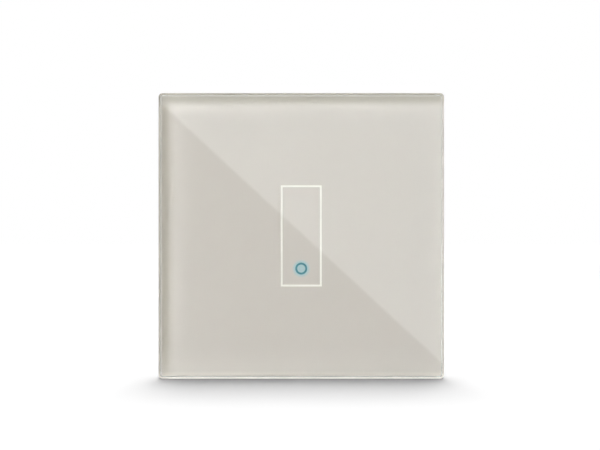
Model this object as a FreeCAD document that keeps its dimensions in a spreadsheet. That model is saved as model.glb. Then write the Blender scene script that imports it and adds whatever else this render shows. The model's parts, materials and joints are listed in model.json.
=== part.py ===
# One-gang smart touch switch: a back-painted glass cover on a wall unit for boxes with screws 60 mm apart.
# Millimetres. The origin is in the wall plane, midway between the box screws: +X right, +Y into the wall, +Z up.
import FreeCAD, Part
import math
import os
import re
import Sketcher

# Terminal poles and vent slots, counted from the middle.
POLES = (-1, 0, 1)
VENTS = (-2, -1, 0, 1, 2)

# Driving dimensions: name, value and what it measures.
SIZES = {
    "face_side": (88.0, "side of the square glass"),
    "face_proud": (10.0, "glass front ahead of the wall"),
    "glass_thick": (4.0, "glass sheet"),
    "glass_corner": (1.2, "plan radius of the glass corners"),
    "glass_arris": (0.6, "ground bevel along the glass edges"),
    "ink_thick": (0.15, "printed coat behind the glass"),
    "ink_margin": (0.1, "bare glass between the coat and the bevel"),
    "outline_wide": (12.7, "printed outline, across"),
    "outline_tall": (31.3, "printed outline, upright"),
    "outline_line": (0.6, "line width of the outline"),
    "ring_drop": (10.1, "lit ring below the middle of the glass"),
    "ring_radius": (1.55, "lit ring, middle of its line"),
    "ring_line": (0.6, "line width of the ring"),
    "tape_thick": (0.3, "foam tape"),
    "tape_band": (5.0, "width of the tape"),
    "tape_inset": (1.5, "tape in from the frame's edge"),
    "frame_inset": (0.8, "frame in from the glass edge"),
    "frame_wall": (1.6, "side walls of the cover frame"),
    "frame_flange": (1.4, "front flange of the cover frame"),
    "frame_corner": (2.5, "plan radius of the frame corners"),
    "frame_window": (58.0, "opening in the flange"),
    "frame_wall_gap": (0.4, "frame edge ahead of the wall"),
    "frame_bevel": (0.4, "bevel round the frame's rear edge"),
    "pry_wide": (12.0, "lever notch in the lower wall, across"),
    "pry_deep": (1.6, "lever notch, depth"),
    "post_half": (1.8, "half width of the frame's corner seat posts"),
    "post_inset": (5.6, "middle of those posts in from the frame walls"),
    "post_gap": (0.05, "seat posts ahead of the plate"),
    "rib_thick": (1.0, "moulded ribs"),
    "rib_rise": (1.6, "corner ribs behind the flange"),
    "bead_proud": (0.4, "catch bead off the frame wall"),
    "bead_front": (1.6, "catch bead front ahead of the wall"),
    "bead_rise": (0.8, "catch bead along the pull"),
    "plate_gap": (1.6, "steel plate in from the frame walls, where the leaf springs stand"),
    "plate_thick": (1.2, "sheet steel"),
    "plate_corner": (3.0, "plan radius of the plate corners"),
    "lip_rise": (2.6, "folded side lips above the sheet"),
    "lip_long": (56.0, "length of the side lips"),
    "slot_spacing": (60.0, "box screws, centre to centre"),
    "slot_radius": (2.1, "half width of the oval slots"),
    "slot_long": (9.0, "length of the oval slots"),
    "clip_thick": (0.3, "leaf spring"),
    "clip_wide": (8.0, "leaf spring, width"),
    "clip_spread": (18.0, "leaf springs off the middle"),
    "clip_bulge": (0.9, "height of the leaf's bulge"),
    "clip_rise": (2.5, "leaf length on the lip"),
    "clip_ramp": (0.85, "sloped ends of the bulge"),
    "clip_slip": (0.1, "inner bends of the leaf beyond its outer ones"),
    "case_side": (49.0, "moulded case, side to side"),
    "case_round": (56.0, "circle that cuts the case corners"),
    "case_wall": (1.6, "case walls"),
    "case_front_wall": (1.0, "front wall of the case"),
    "case_depth": (27.5, "case behind the wall plane"),
    "case_bevel": (0.8, "bevel on the outer ends of the case"),
    "face_gap": (0.45, "case front behind the printed coat"),
    "screw_spread": (17.0, "case screws off the centre lines"),
    "screw_radius": (1.3, "case screw shank"),
    "screw_clear": (0.2, "clearance round case screws"),
    "screw_head": (2.2, "case screw head radius"),
    "screw_head_thick": (1.6, "case screw head"),
    "screw_seat": (6.0, "seat of the case screws behind the wall plane"),
    "screw_bite": (3.3, "case screw ahead of the plate"),
    "column_wall": (1.0, "wall of the screw columns"),
    "rest_wide": (2.0, "rests for the power board, off the wall"),
    "rest_long": (6.0, "rests for the power board, along the wall"),
    "vent_wide": (1.2, "vent slots"),
    "vent_long": (13.0, "vent slots, length"),
    "vent_pitch": (3.0, "vent slots, spacing"),
    "vent_rise": (8.5, "middle of the vents above the axis"),
    "touch_board_thick": (1.2, "touch board"),
    "touch_board_front": (0.6, "touch board front ahead of the wall plane"),
    "board_gap": (0.3, "edge clearance of the boards"),
    "stake_half": (0.7, "half width of the stakes through the touch board"),
    "stake_rise": (0.4, "stake heads behind the touch board"),
    "stake_clear": (0.1, "clearance round the stakes"),
    "stake_foot": (1.5, "half width of the posts that carry the touch board"),
    "stake_x": (18.5, "posts off the upright centre line"),
    "stake_z": (6.0, "posts off the level centre line"),
    "pipe_clear": (0.15, "clearance round the light pipe"),
    "pipe_flange": (0.8, "how far the light pipe flange stands out"),
    "pipe_gap": (0.1, "light pipe behind the printed coat"),
    "lamp_wide": (1.6, "lamp on the touch board"),
    "lamp_rise": (0.7, "lamp height"),
    "spring_radius": (3.2, "touch spring, middle of the wire"),
    "spring_wire": (0.5, "touch spring wire"),
    "spring_turns": (4.0, "touch spring turns"),
    "spring_lift": (3.0, "touch spring above the middle of the glass"),
    "spring_hole": (4.0, "hole in the case front for the touch spring"),
    "radio_wide": (18.0, "radio module, across"),
    "radio_tall": (20.0, "radio module, upright"),
    "radio_thick": (0.8, "radio module board"),
    "radio_shift": (3.0, "radio module above the middle"),
    "can_inset_side": (1.2, "shield can in from the module's sides"),
    "can_low": (5.0, "module board bare for the aerial"),
    "can_rise": (2.2, "shield can height"),
    "can_wall": (0.2, "shield can sheet"),
    "can_round": (0.4, "rounded edges of the shield can"),
    "chip_wide": (5.0, "small chips, across"),
    "chip_tall": (4.0, "small chips, upright"),
    "chip_rise": (1.5, "small chips, height"),
    "chip_bevel": (0.3, "bevel of the moulded packages"),
    "pin_pitch": (2.54, "header pins"),
    "pin_side": (0.64, "header pins, thickness"),
    "pin_rows": (2.0, "header rows"),
    "pin_columns": (4.0, "header pins in a row"),
    "header_rise": (2.5, "pin header insulator"),
    "header_x": (-15.5, "header centre, across"),
    "power_board_thick": (1.6, "power board"),
    "pole_pitch": (7.2, "terminal poles"),
    "block_wall": (1.2, "end walls of the terminal block"),
    "block_side": (0.6, "outer side walls of the block beyond the poles"),
    "block_fit": (0.15, "clearance round the block in the case"),
    "keeper_thick": (0.5, "lip that keeps the terminal screws"),
    "keeper_hole": (2.2, "driver hole in that lip, radius"),
    "head_play": (0.1, "end play of the terminal screws"),
    "head_thick": (2.0, "terminal screw head"),
    "head_radius": (2.5, "terminal screw head, radius"),
    "head_clear": (0.25, "clearance round the terminal screw heads"),
    "thread_radius": (1.5, "terminal screw shank"),
    "thread_clear": (0.05, "running clearance of the thread"),
    "driver_slot": (0.8, "driver slot width"),
    "driver_depth": (0.9, "driver slot depth"),
    "clamp_travel": (3.5, "clamp cage travel"),
    "clamp_gap": (0.3, "clearance at the ends of that travel"),
    "cage_play": (0.2, "side clearance of the cages"),
    "cage_roof": (1.8, "threaded wall of the cage"),
    "cage_floor": (1.2, "wall of the cage that lifts the wire"),
    "cage_side": (0.8, "side walls of the cage"),
    "cage_mouth": (3.8, "cage opening, across"),
    "cage_long": (6.0, "cage along the wire"),
    "wire_gap": (4.0, "room for the wire when open"),
    "wire_entry": (3.8, "square wire entries in the block"),
    "bar_thick": (1.0, "contact bars"),
    "bar_wide": (3.4, "contact bars, width"),
    "bar_clear": (0.1, "clearance round the bars"),
    "bar_reach": (1.6, "bar beyond the block wall"),
    "tail_proud": (0.5, "soldered tails ahead of the power board"),
    "relay_long": (17.8, "relay case, across"),
    "relay_wide": (10.1, "relay case, upright"),
    "relay_rise": (12.5, "relay case height"),
    "relay_wall": (0.6, "relay case wall"),
    "relay_x": (-11.3, "relay centre, across"),
    "relay_z": (-6.2, "relay centre, upright"),
    "relay_fit": (0.1, "relay base in its case"),
    "relay_base_thick": (1.0, "relay base"),
    "coil_core": (1.2, "relay core radius"),
    "coil_barrel": (1.7, "spool barrel radius"),
    "coil_winding": (3.1, "winding radius"),
    "coil_flange": (3.5, "spool flange radius"),
    "coil_flange_thick": (0.7, "spool flanges"),
    "coil_long": (9.6, "spool length"),
    "coil_lift": (4.6, "coil axis above the relay base"),
    "yoke_thick": (1.0, "relay yoke sheet"),
    "yoke_wide": (6.4, "relay yoke width"),
    "yoke_gap": (0.3, "yoke clear of the spool flange"),
    "core_proud": (0.5, "relay core beyond the spool"),
    "armature_gap": (0.4, "armature off the core at rest"),
    "armature_reach": (1.8, "armature beyond the axis of the core"),
    "armature_clear": (0.1, "armature off the yoke at the hinge"),
    "contact_radius": (0.9, "relay contact buttons"),
    "contact_gap": (0.55, "open relay contact"),
    "contact_lift": (1.8, "contact centre above the relay base"),
    "contact_rise": (0.4, "height of a contact button"),
    "strip_thick": (0.4, "relay contact strips"),
    "strip_wide": (2.4, "relay contact strips, width"),
    "core_wide": (13.0, "transformer core, across"),
    "core_tall": (12.0, "transformer core, upright"),
    "core_thick": (5.6, "transformer core stack"),
    "core_leg": (2.4, "outer legs and yokes of the core"),
    "core_centre": (3.6, "centre leg of the core"),
    "core_lift": (3.4, "core above the power board"),
    "core_x": (7.9, "transformer centre, across"),
    "core_z": (-5.6, "transformer centre, upright"),
    "winding_fit": (0.2, "winding clear of the core"),
    "winding_proud": (2.6, "winding beyond the core faces"),
    "bobbin_foot": (4.0, "foot under the winding, upright"),
    "can_radius": (4.0, "smoothing capacitors, radius"),
    "can_tall": (11.5, "smoothing capacitors, height"),
    "can_spread": (4.4, "smoothing capacitors off their middle"),
    "can_x": (-6.5, "middle of the smoothing capacitors, across"),
    "can_z": (6.2, "middle of the smoothing capacitors, upright"),
    "film_wide": (13.0, "film capacitor, across"),
    "film_tall": (5.0, "film capacitor, upright"),
    "film_rise": (11.0, "film capacitor, height"),
    "film_corner": (0.6, "film capacitor edge radius"),
    "film_z": (16.0, "film capacitor centre, upright"),
    "disc_radius": (3.8, "varistor disc"),
    "disc_thick": (3.6, "varistor thickness"),
    "disc_x": (14.5, "varistor centre, across"),
    "disc_z": (7.8, "varistor centre, upright"),
    "disc_lift": (1.2, "varistor above the board"),
    "lead_half": (0.35, "half width of the varistor leads"),
    "lead_spread": (1.9, "varistor leads off their middle"),
    "fuse_radius": (3.1, "fuse can radius"),
    "fuse_rise": (7.6, "fuse can height"),
    "fuse_x": (18.0, "fuse centre, across"),
    "fuse_z": (-2.0, "fuse centre, upright"),
    "bridge_wide": (4.8, "rectifier, across"),
    "bridge_tall": (4.0, "rectifier, upright"),
    "bridge_rise": (2.5, "rectifier, height"),
    "bridge_x": (5.2, "rectifier centre, across"),
    "bridge_z": (5.0, "rectifier centre, upright"),
}

# Places that follow from the sizes: y grows into the wall, so what stands ahead of the wall is negative.
PLACES = {
    "half_face": "face_side / 2",
    "glass_front": "-face_proud",
    "glass_back": "glass_front + glass_thick",
    "ink_half": "half_face - glass_arris - ink_margin",
    "ink_back": "glass_back + ink_thick",
    "tape_back": "ink_back + tape_thick",
    "outline_x": "outline_wide / 2",
    "outline_z": "outline_tall / 2",
    "inside_x": "outline_x - outline_line",
    "inside_z": "outline_z - outline_line",
    "ring_outer": "ring_radius + ring_line / 2",
    "ring_inner": "ring_radius - ring_line / 2",
    "frame_half": "half_face - frame_inset",
    "frame_inner": "frame_half - frame_wall",
    "frame_inner_corner": "frame_corner - frame_wall",
    "flange_back": "tape_back + frame_flange",
    "frame_back": "-frame_wall_gap",
    "window_half": "frame_window / 2",
    "tape_outer": "frame_half - tape_inset",
    "tape_inner": "tape_outer - tape_band",
    "post_spread": "frame_inner - post_inset",
    "plate_half": "frame_inner - plate_gap",
    "plate_front": "-plate_thick",
    "lip_front": "plate_front - lip_rise",
    "slot_reach": "slot_long / 2 - slot_radius",
    "slot_centre": "slot_spacing / 2",
    "clip_face": "plate_half + clip_thick",
    "clip_top": "clip_face + clip_bulge",
    "clip_front": "plate_front - clip_rise",
    "case_half": "case_side / 2",
    "case_radius": "case_round / 2",
    "case_inner": "case_half - case_wall",
    "case_inner_radius": "case_radius - case_wall",
    "case_front": "ink_back + face_gap",
    "case_inner_front": "case_front + case_front_wall",
    "case_inner_back": "case_depth - case_wall",
    "hole_radius": "screw_radius + screw_clear",
    "well_radius": "screw_head + screw_clear",
    "column_half": "well_radius + column_wall",
    "column_short": "column_half * (sqrt(2) - 1)",
    "bite_front": "plate_front - screw_bite",
    "diagonal_reach": "screw_spread * sqrt(2) - column_half - board_gap",
    "bay_half": "case_inner - board_gap",
    "bay_short": "diagonal_reach * sqrt(2) - bay_half",
    "touch_half": "bay_half - board_gap",
    "touch_short": "bay_short - board_gap",
    "touch_back": "touch_board_thick - touch_board_front",
    "pipe_front": "ink_back + pipe_gap",
    "pipe_flange_back": "case_inner_front + rib_thick",
    "lamp_front": "-touch_board_front - lamp_rise",
    "pipe_back": "lamp_front - pipe_clear",
    "spring_front": "ink_back + spring_wire / 2",
    "spring_back": "-touch_board_front - spring_wire / 2",
    "radio_back": "touch_back + radio_thick",
    "can_back": "radio_back + can_rise",
    "radio_low": "radio_shift - radio_tall / 2",
    "well_back": "case_depth - keeper_thick",
    "head_back": "well_back - head_play",
    "head_front": "head_back - head_thick",
    "roof_limit": "head_front - clamp_gap",
    "roof_back": "roof_limit - clamp_travel",
    "roof_front": "roof_back - cage_roof",
    "bar_back": "roof_front - clamp_gap",
    "bar_front": "bar_back - bar_thick",
    "floor_back": "bar_front - wire_gap",
    "floor_front": "floor_back - cage_floor",
    "board_back": "floor_front - clamp_gap",
    "board_front": "board_back - power_board_thick",
    "tail_front": "board_front - tail_proud",
    "cage_wide": "cage_mouth + 2 * cage_side",
    "chamber_wide": "cage_wide + 2 * cage_play",
    "chamber_long": "cage_long + 2 * cage_play",
    "block_low": "-case_half",
    "chamber_low": "block_low + block_wall",
    "chamber_high": "chamber_low + chamber_long",
    "block_high": "chamber_high + block_wall",
    "screw_z": "(chamber_low + chamber_high) / 2",
    "block_half": f"{len(POLES)} * pole_pitch / 2 + block_side",
    "bar_tail": "block_high + bar_reach",
    "socket_back": "board_front - header_rise",
    "relay_left": "relay_x - relay_long / 2",
    "relay_back": "board_back + relay_rise",
    "relay_base_back": "board_back + relay_base_thick",
    "coil_y": "relay_base_back + coil_lift",
    "coil_left": "relay_left + relay_wall + 2 * yoke_gap + yoke_thick",
    "coil_right": "coil_left + coil_long",
    "yoke_y": "coil_y + coil_flange + yoke_gap",
    "armature_x": "coil_right + core_proud + armature_gap",
    "armature_back": "yoke_y + yoke_thick",
    "hinge_y": "armature_back - yoke_thick / 2",
    "contact_y": "relay_base_back + contact_lift",
    "core_front": "board_back + core_lift",
    "core_back": "core_front + core_thick",
    "winding_front": "core_front - winding_proud",
    "disc_front": "board_back + disc_lift",
}

PLANES = {"XY": "XY_Plane", "XZ": "XZ_Plane", "YZ": "YZ_Plane"}

# The case screws stand on one diagonal.
SCREW_PLACES = (("screw_spread", "screw_spread"), ("-screw_spread", "-screw_spread"))

doc = FreeCAD.newDocument("SmartTouchSwitch")
size_sheet = doc.addObject("Spreadsheet::Sheet", "Sizes")
place_sheet = doc.addObject("Spreadsheet::Sheet", "Places")


def linked(text):
    """Put the sheet's name before each size and place in a formula."""
    def with_sheet(match):
        word = match.group()
        if word in SIZES:
            return "Sizes." + word
        return "Places." + word if word in PLACES else word
    return re.sub(r"[a-z][a-z0-9_]*", with_sheet, str(text))


def number(text):
    """Work a formula out with the sizes as they stand."""
    return float(place_sheet.evalExpression(linked(text)))


def point(first, second):
    return FreeCAD.Vector(number(first), number(second), 0)


def bind(target, settings):
    """Tie properties of an object to formulas."""
    for path, text in settings.items():
        target.setExpression(path, linked(text))


def fill_sheets():
    """Write the sizes as plain numbers and the places as formulas, each under its alias."""
    for row, (alias, (value, meaning)) in enumerate(SIZES.items(), start=1):
        size_sheet.set(f"A{row}", meaning)
        size_sheet.set(f"B{row}", str(value))
        size_sheet.setAlias(f"B{row}", alias)
    for row, (alias, text) in enumerate(PLACES.items(), start=1):
        place_sheet.set(f"B{row}", "=" + linked(text).replace("Places.", ""))
        place_sheet.setAlias(f"B{row}", alias)
    doc.recompute()


def new_body(label):
    body = doc.addObject("PartDesign::Body", "Body_" + label)
    body.Label = label
    return body


def origin_part(body, role):
    return next(part for part in body.Origin.OriginFeatures if part.Role == role)


def new_sketch(body, plane, offset):
    """Attach a sketch to one of the body's planes, with its local offset given as formulas."""
    sketch = body.newObject("Sketcher::SketchObject", "Sketch")
    sketch.AttachmentSupport = [(origin_part(body, PLANES[plane]), "")]
    sketch.MapMode = "FlatFace"
    bind(sketch, {f"AttachmentOffset.Base.{axis}": text for axis, text in offset.items()})
    return sketch


def hold(sketch, kind, *details):
    """Add a dimension whose value, the last detail, follows a formula."""
    text = details[-1]
    index = sketch.addConstraint(Sketcher.Constraint(kind, *details[:-1], number(text)))
    sketch.setExpression(f"Constraints[{index}]", linked(text))


def hold_centre(sketch, index, x, y):
    """Hold the centre of an arc with held ends, along the line that it can still slide on."""
    arc = sketch.Geometry[index]
    chord = arc.EndPoint - arc.StartPoint
    if abs(chord.y) > abs(chord.x):
        hold(sketch, "DistanceX", index, 3, x)
    else:
        hold(sketch, "DistanceY", index, 3, y)


def trace(sketch, corners, arcs=None):
    """Draw a closed loop; arcs gives a side's centre x and y, and +1 or -1 for its way round."""
    arcs = arcs or {}
    ends = []
    for side, corner in enumerate(corners):
        here = point(*corner)
        there = point(*corners[(side + 1) % len(corners)])
        if side not in arcs:
            ends.append((sketch.addGeometry(Part.LineSegment(here, there)), 1, 2))
            continue
        centre_x, centre_y, way = arcs[side]
        centre = point(centre_x, centre_y)
        first, last = (here, there) if way > 0 else (there, here)
        angles = [math.atan2((end - centre).y, (end - centre).x) for end in (first, last)]
        whole = Part.Circle(centre, FreeCAD.Vector(0, 0, 1), (here - centre).Length)
        index = sketch.addGeometry(Part.ArcOfCircle(whole, *angles))
        ends.append((index, 1, 2) if way > 0 else (index, 2, 1))
    for side, (index, start, end) in enumerate(ends):
        next_index, next_start, _ = ends[(side + 1) % len(ends)]
        sketch.addConstraint(Sketcher.Constraint("Coincident", index, end, next_index, next_start))
        hold(sketch, "DistanceX", index, start, corners[side][0])
        hold(sketch, "DistanceY", index, start, corners[side][1])
        if side in arcs:
            hold_centre(sketch, index, *arcs[side][:2])


def polygon(*corners):
    return lambda sketch: trace(sketch, corners)


def rectangle(left, low, right, high):
    return polygon((left, low), (right, low), (right, high), (left, high))


def centred(wide, tall, x="0", y="0"):
    """A rectangle by its size and its middle."""
    return rectangle(f"{x} - ({wide}) / 2", f"{y} - ({tall}) / 2", f"{x} + ({wide}) / 2", f"{y} + ({tall}) / 2")


def circle(radius, x="0", y="0"):
    def draw(sketch):
        ring = Part.Circle(point(x, y), FreeCAD.Vector(0, 0, 1), number(radius))
        index = sketch.addGeometry(ring)
        hold(sketch, "Radius", index, radius)
        hold(sketch, "DistanceX", index, 3, x)
        hold(sketch, "DistanceY", index, 3, y)
    return draw


def rounded(half_x, half_y, radius, x="0", y="0"):
    """A rectangle with round corners, by half sizes."""
    def draw(sketch):
        corners = []
        arcs = {}
        for way_x, way_y in ((1, -1), (1, 1), (-1, 1), (-1, -1)):
            edge_x, edge_y = f"{x} + {way_x} * ({half_x})", f"{y} + {way_y} * ({half_y})"
            mid_x, mid_y = f"{edge_x} - {way_x} * ({radius})", f"{edge_y} - {way_y} * ({radius})"
            arcs[len(corners)] = (mid_x, mid_y, 1)
            pair = [(mid_x, edge_y), (edge_x, mid_y)]
            corners += pair if way_x * way_y < 0 else pair[::-1]
        trace(sketch, corners, arcs)
    return draw


def cut_square(half, radius):
    """A square whose corners are cut by a circle about its middle."""
    def draw(sketch):
        short = f"sqrt(({radius}) ^ 2 - ({half}) ^ 2)"
        corners = []
        arcs = {}
        for way_x, way_y in ((1, -1), (1, 1), (-1, 1), (-1, -1)):
            pair = [(f"{way_x} * {short}", f"{way_y} * ({half})"), (f"{way_x} * ({half})", f"{way_y} * {short}")]
            arcs[len(corners)] = ("0", "0", 1)
            corners += pair if way_x * way_y < 0 else pair[::-1]
        trace(sketch, corners, arcs)
    return draw


def bevelled_square(half, short, x="0", y="0"):
    """A square with its corners cut straight, by its half width and half of what is left of each side."""
    turns = ((1, -1), (1, 1), (-1, 1), (-1, -1))
    corners = []
    for way_x, way_y in turns:
        pair = [(f"{x} + {way_x} * ({short})", f"{y} + {way_y} * ({half})"),
                (f"{x} + {way_x} * ({half})", f"{y} + {way_y} * ({short})")]
        corners += pair if way_x * way_y < 0 else pair[::-1]
    return polygon(*corners)


def columns(grow="0"):
    """The outlines of the two eight-sided screw columns."""
    half, short = f"column_half + {grow}", f"column_short + ({grow}) * (sqrt(2) - 1)"
    return [bevelled_square(half, short, x, z) for x, z in SCREW_PLACES]


def slot_outline(x, y, along_x):
    """An oval slot for a box screw, long towards the middle of the plate."""
    def draw(sketch):
        a, r = ("slot_reach", "slot_radius") if along_x else ("slot_radius", "slot_reach")
        corners = [(f"{x} + {sx} * {a}", f"{y} + {sy} * {r}") for sx, sy in ((-1, -1), (1, -1), (1, 1), (-1, 1))]
        if along_x:
            arcs = {1: (f"{x} + slot_reach", y, 1), 3: (f"{x} - slot_reach", y, 1)}
        else:
            arcs = {0: (x, f"{y} - slot_reach", 1), 2: (x, f"{y} + slot_reach", 1)}
        trace(sketch, corners, arcs)
    return draw


def extruded(body, kind, plane, low, high, shapes):
    """Sketch shapes on a plane and extrude them from low to high along the world axis across it."""
    sketch = new_sketch(body, plane, {"z": f"-({high})" if plane == "XZ" else low})
    for draw in shapes:
        draw(sketch)
    sketch.recompute()
    feature = body.newObject("PartDesign::" + kind, kind)
    feature.Profile = sketch
    bind(feature, {"Length": f"({high}) - ({low})"})
    return feature


def pad(body, plane, low, high, *shapes):
    feature = extruded(body, "Pad", plane, low, high, shapes)
    feature.recompute()
    return feature


def cut(body, plane, low, high, *shapes):
    """Pocket the shapes out of the body from low to high, and make sure that something was cut."""
    before = body.Tip.Shape.Volume
    feature = extruded(body, "Pocket", plane, low, high, shapes)
    feature.Reversed = True
    feature.recompute()
    if not feature.Shape.Volume < before - 1e-6:
        raise ValueError(f"{body.Label}: a pocket cuts nothing")
    return feature


def turned(body, x, z, *shapes, axis="V_Axis", y="0"):
    """Turn a profile about an axis through x, y, z: V_Axis is along Y and H_Axis along X."""
    sketch = new_sketch(body, "XY", {"x": x, "y": y, "z": z})
    for draw in shapes:
        draw(sketch)
    sketch.recompute()
    feature = body.newObject("PartDesign::Revolution", "Revolution")
    feature.Profile = sketch
    feature.ReferenceAxis = (sketch, [axis])
    feature.Angle = 360
    feature.recompute()
    return feature


def dress(body, kind, size, wanted):
    """Bevel or round the edges of the tip whose bounding box is wanted."""
    base = body.Tip
    names = [f"Edge{n}" for n, edge in enumerate(base.Shape.Edges, start=1) if wanted(edge.BoundBox)]
    feature = body.newObject("PartDesign::" + kind, kind)
    feature.Base = (base, names)
    bind(feature, {"Size" if kind == "Chamfer" else "Radius": size})
    feature.recompute()
    return feature


def flat_at(y, reach="0"):
    """Pick edges that lie in the plane at y and reach that far out from the Y axis."""
    level, far = number(y), number(reach)
    def wanted(box):
        spread = max(abs(box.XMin), abs(box.XMax), abs(box.ZMin), abs(box.ZMax))
        return abs(box.YMin - level) < 1e-4 and abs(box.YMax - level) < 1e-4 and spread > far - 1e-4
    return wanted


def fours(x, y):
    """The four mirror images of a point."""
    return [(f"{way_x} * ({x})", f"{way_y} * ({y})") for way_x in (1, -1) for way_y in (1, -1)]


def make_glass():
    glass = new_body("glass_panel")
    pad(glass, "XZ", "glass_front", "glass_back", rounded("half_face", "half_face", "glass_corner"))
    front, back = flat_at("glass_front"), flat_at("glass_back")
    dress(glass, "Chamfer", "glass_arris", lambda box: front(box) or back(box))


def make_print():
    """The printed coat has a bare ring and a gap for the outline; both are filled by pieces of their own."""
    coat = new_body("ink_coat")
    ring = (circle("ring_outer", "0", "-ring_drop"), circle("ring_inner", "0", "-ring_drop"))
    outline = (centred("outline_wide", "outline_tall"), centred("2 * inside_x", "2 * inside_z"))
    pad(coat, "XZ", "glass_back", "ink_back", centred("2 * ink_half", "2 * ink_half"), *outline, *ring)
    pad(new_body("outline_print"), "XZ", "glass_back", "ink_back", *outline)
    pad(new_body("ring_lens"), "XZ", "glass_back", "ink_back", *ring)


def make_tape():
    tape = new_body("adhesive_tape")
    pad(tape, "XZ", "ink_back", "tape_back", centred("2 * tape_outer", "2 * tape_outer"),
        centred("2 * tape_inner", "2 * tape_inner"))


def make_cover_frame():
    frame = new_body("cover_frame")
    outer = rounded("frame_half", "frame_half", "frame_corner")
    pad(frame, "XZ", "tape_back", "flange_back", outer,
        rounded("window_half", "window_half", "frame_corner"))
    pad(frame, "XZ", "flange_back", "frame_back", outer,
        rounded("frame_inner", "frame_inner", "frame_inner_corner"))
    dress(frame, "Chamfer", "frame_bevel", flat_at("frame_back", "frame_half - frame_corner"))
    pad(frame, "XZ", "flange_back", "plate_front - post_gap",
        *[centred("2 * post_half", "2 * post_half", x, z) for x, z in fours("post_spread", "post_spread")])
    middle = "(post_spread + post_half / 2 + frame_inner) / 2"
    reach = "frame_inner - post_spread - post_half / 2"
    for way_x in (1, -1):
        for way_z in (1, -1):
            across = centred(reach, "rib_thick", f"{way_x} * {middle}", f"{way_z} * post_spread")
            upright = centred("rib_thick", reach, f"{way_x} * post_spread", f"{way_z} * {middle}")
            pad(frame, "XZ", "flange_back", "flange_back + rib_rise", across, upright)
    beads = [centred("bead_proud", "clip_wide", f"{way} * (frame_inner - bead_proud / 2)", z)
             for way in (1, -1) for z in ("clip_spread", "-clip_spread")]
    pad(frame, "XZ", "-bead_front", "bead_rise - bead_front", *beads)
    cut(frame, "XZ", "frame_back - pry_deep", "frame_back",
        centred("pry_wide", "2 * frame_wall", "0", "-frame_half"))


def make_plate():
    plate = new_body("mount_plate")
    slots = [slot_outline(f"{way} * slot_centre", "0", True) for way in (1, -1)]
    slots += [slot_outline("0", f"{way} * slot_centre", False) for way in (1, -1)]
    holes = [circle("hole_radius", x, z) for x, z in SCREW_PLACES]
    pad(plate, "XZ", "plate_front", "0", rounded("plate_half", "plate_half", "plate_corner"),
        bevelled_square("bay_half", "bay_short"), *slots, *holes)
    lips = [centred("plate_thick", "lip_long", f"{way} * (plate_half - plate_thick / 2)", "0") for way in (1, -1)]
    pad(plate, "XZ", "lip_front", "plate_front", *lips)


def make_clips():
    """Leaf springs on the outer faces of the lips, bowed out to catch behind the beads of the frame."""
    clips = new_body("cover_clips")
    for way in (1, -1):
        outer = [("clip_face", "clip_front"), ("clip_top", "clip_front + clip_ramp"),
                 ("clip_top", "plate_front - clip_ramp"), ("clip_face", "plate_front")]
        inner = [("plate_half", "plate_front"), ("clip_top - clip_thick", "plate_front - clip_ramp - clip_slip"),
                 ("clip_top - clip_thick", "clip_front + clip_ramp + clip_slip"), ("plate_half", "clip_front")]
        profile = [(f"{way} * ({x})", y) for x, y in outer + inner]
        for row in (1, -1):
            pad(clips, "XY", f"{row} * clip_spread - clip_wide / 2", f"{row} * clip_spread + clip_wide / 2",
                polygon(*profile))


def make_front_housing():
    shell = new_body("front_housing")
    pad(shell, "XZ", "case_front", "plate_front", cut_square("case_half", "case_radius"))
    dress(shell, "Chamfer", "case_bevel", flat_at("case_front"))
    cut(shell, "XZ", "case_inner_front", "plate_front", cut_square("case_inner", "case_inner_radius"))
    pad(shell, "XZ", "case_inner_front", "plate_front", *columns())
    cut(shell, "XZ", "bite_front", "plate_front", *[circle("screw_radius", x, z) for x, z in SCREW_PLACES])
    for half, low, high in (("stake_foot", "case_inner_front", "-touch_board_front"),
                            ("stake_half", "-touch_board_front", "touch_back + stake_rise")):
        pad(shell, "XZ", low, high,
            *[centred(f"2 * {half}", f"2 * {half}", x, z) for x, z in fours("stake_x", "stake_z")])
    cut(shell, "XZ", "case_front", "case_inner_front", circle("spring_hole", "0", "spring_lift"),
        circle("ring_outer + pipe_clear", "0", "-ring_drop"))


def make_rear_housing():
    shell = new_body("rear_housing")
    pad(shell, "XZ", "0", "case_depth", cut_square("case_half", "case_radius"))
    dress(shell, "Chamfer", "case_bevel", flat_at("case_depth"))
    cut(shell, "XZ", "0", "case_inner_back", cut_square("case_inner", "case_inner_radius"))
    pad(shell, "XZ", "0", "case_inner_back", *columns())
    rests = [centred("rest_wide", "rest_long", f"{way} * (case_inner - board_gap)", "0") for way in (1, -1)]
    rests.append(centred("rest_long", "rest_wide", "0", "case_inner - board_gap"))
    pad(shell, "XZ", "board_back", "case_inner_back", *rests)
    cut(shell, "XZ", "screw_seat", "case_depth", *[circle("well_radius", x, z) for x, z in SCREW_PLACES])
    cut(shell, "XZ", "0", "screw_seat", *[circle("hole_radius", x, z) for x, z in SCREW_PLACES])
    cut(shell, "XZ", "board_back", "case_depth",
        rectangle("-block_half - block_fit", "block_low - block_wall", "block_half + block_fit",
                  "block_high + block_fit"))
    vents = [centred("vent_wide", "vent_long", f"{step} * vent_pitch", "vent_rise") for step in VENTS]
    cut(shell, "XZ", "case_inner_back", "case_depth", *vents)


def make_case_screws():
    screws = new_body("case_screws")
    tip, crown = "bite_front + screw_clear", "screw_seat + screw_head_thick"
    profile = polygon(("0", tip), ("screw_radius", tip), ("screw_radius", "screw_seat"), ("screw_head", "screw_seat"),
                      ("screw_head", crown), ("0", crown))
    screw = turned(screws, "screw_spread", "screw_spread", profile)
    ring = screws.newObject("PartDesign::PolarPattern", "PolarPattern")
    ring.Originals = [screw]
    ring.Axis = (origin_part(screws, "Y_Axis"), [""])
    ring.Angle = 360
    ring.Occurrences = len(SCREW_PLACES)
    screws.Tip = ring


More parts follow.
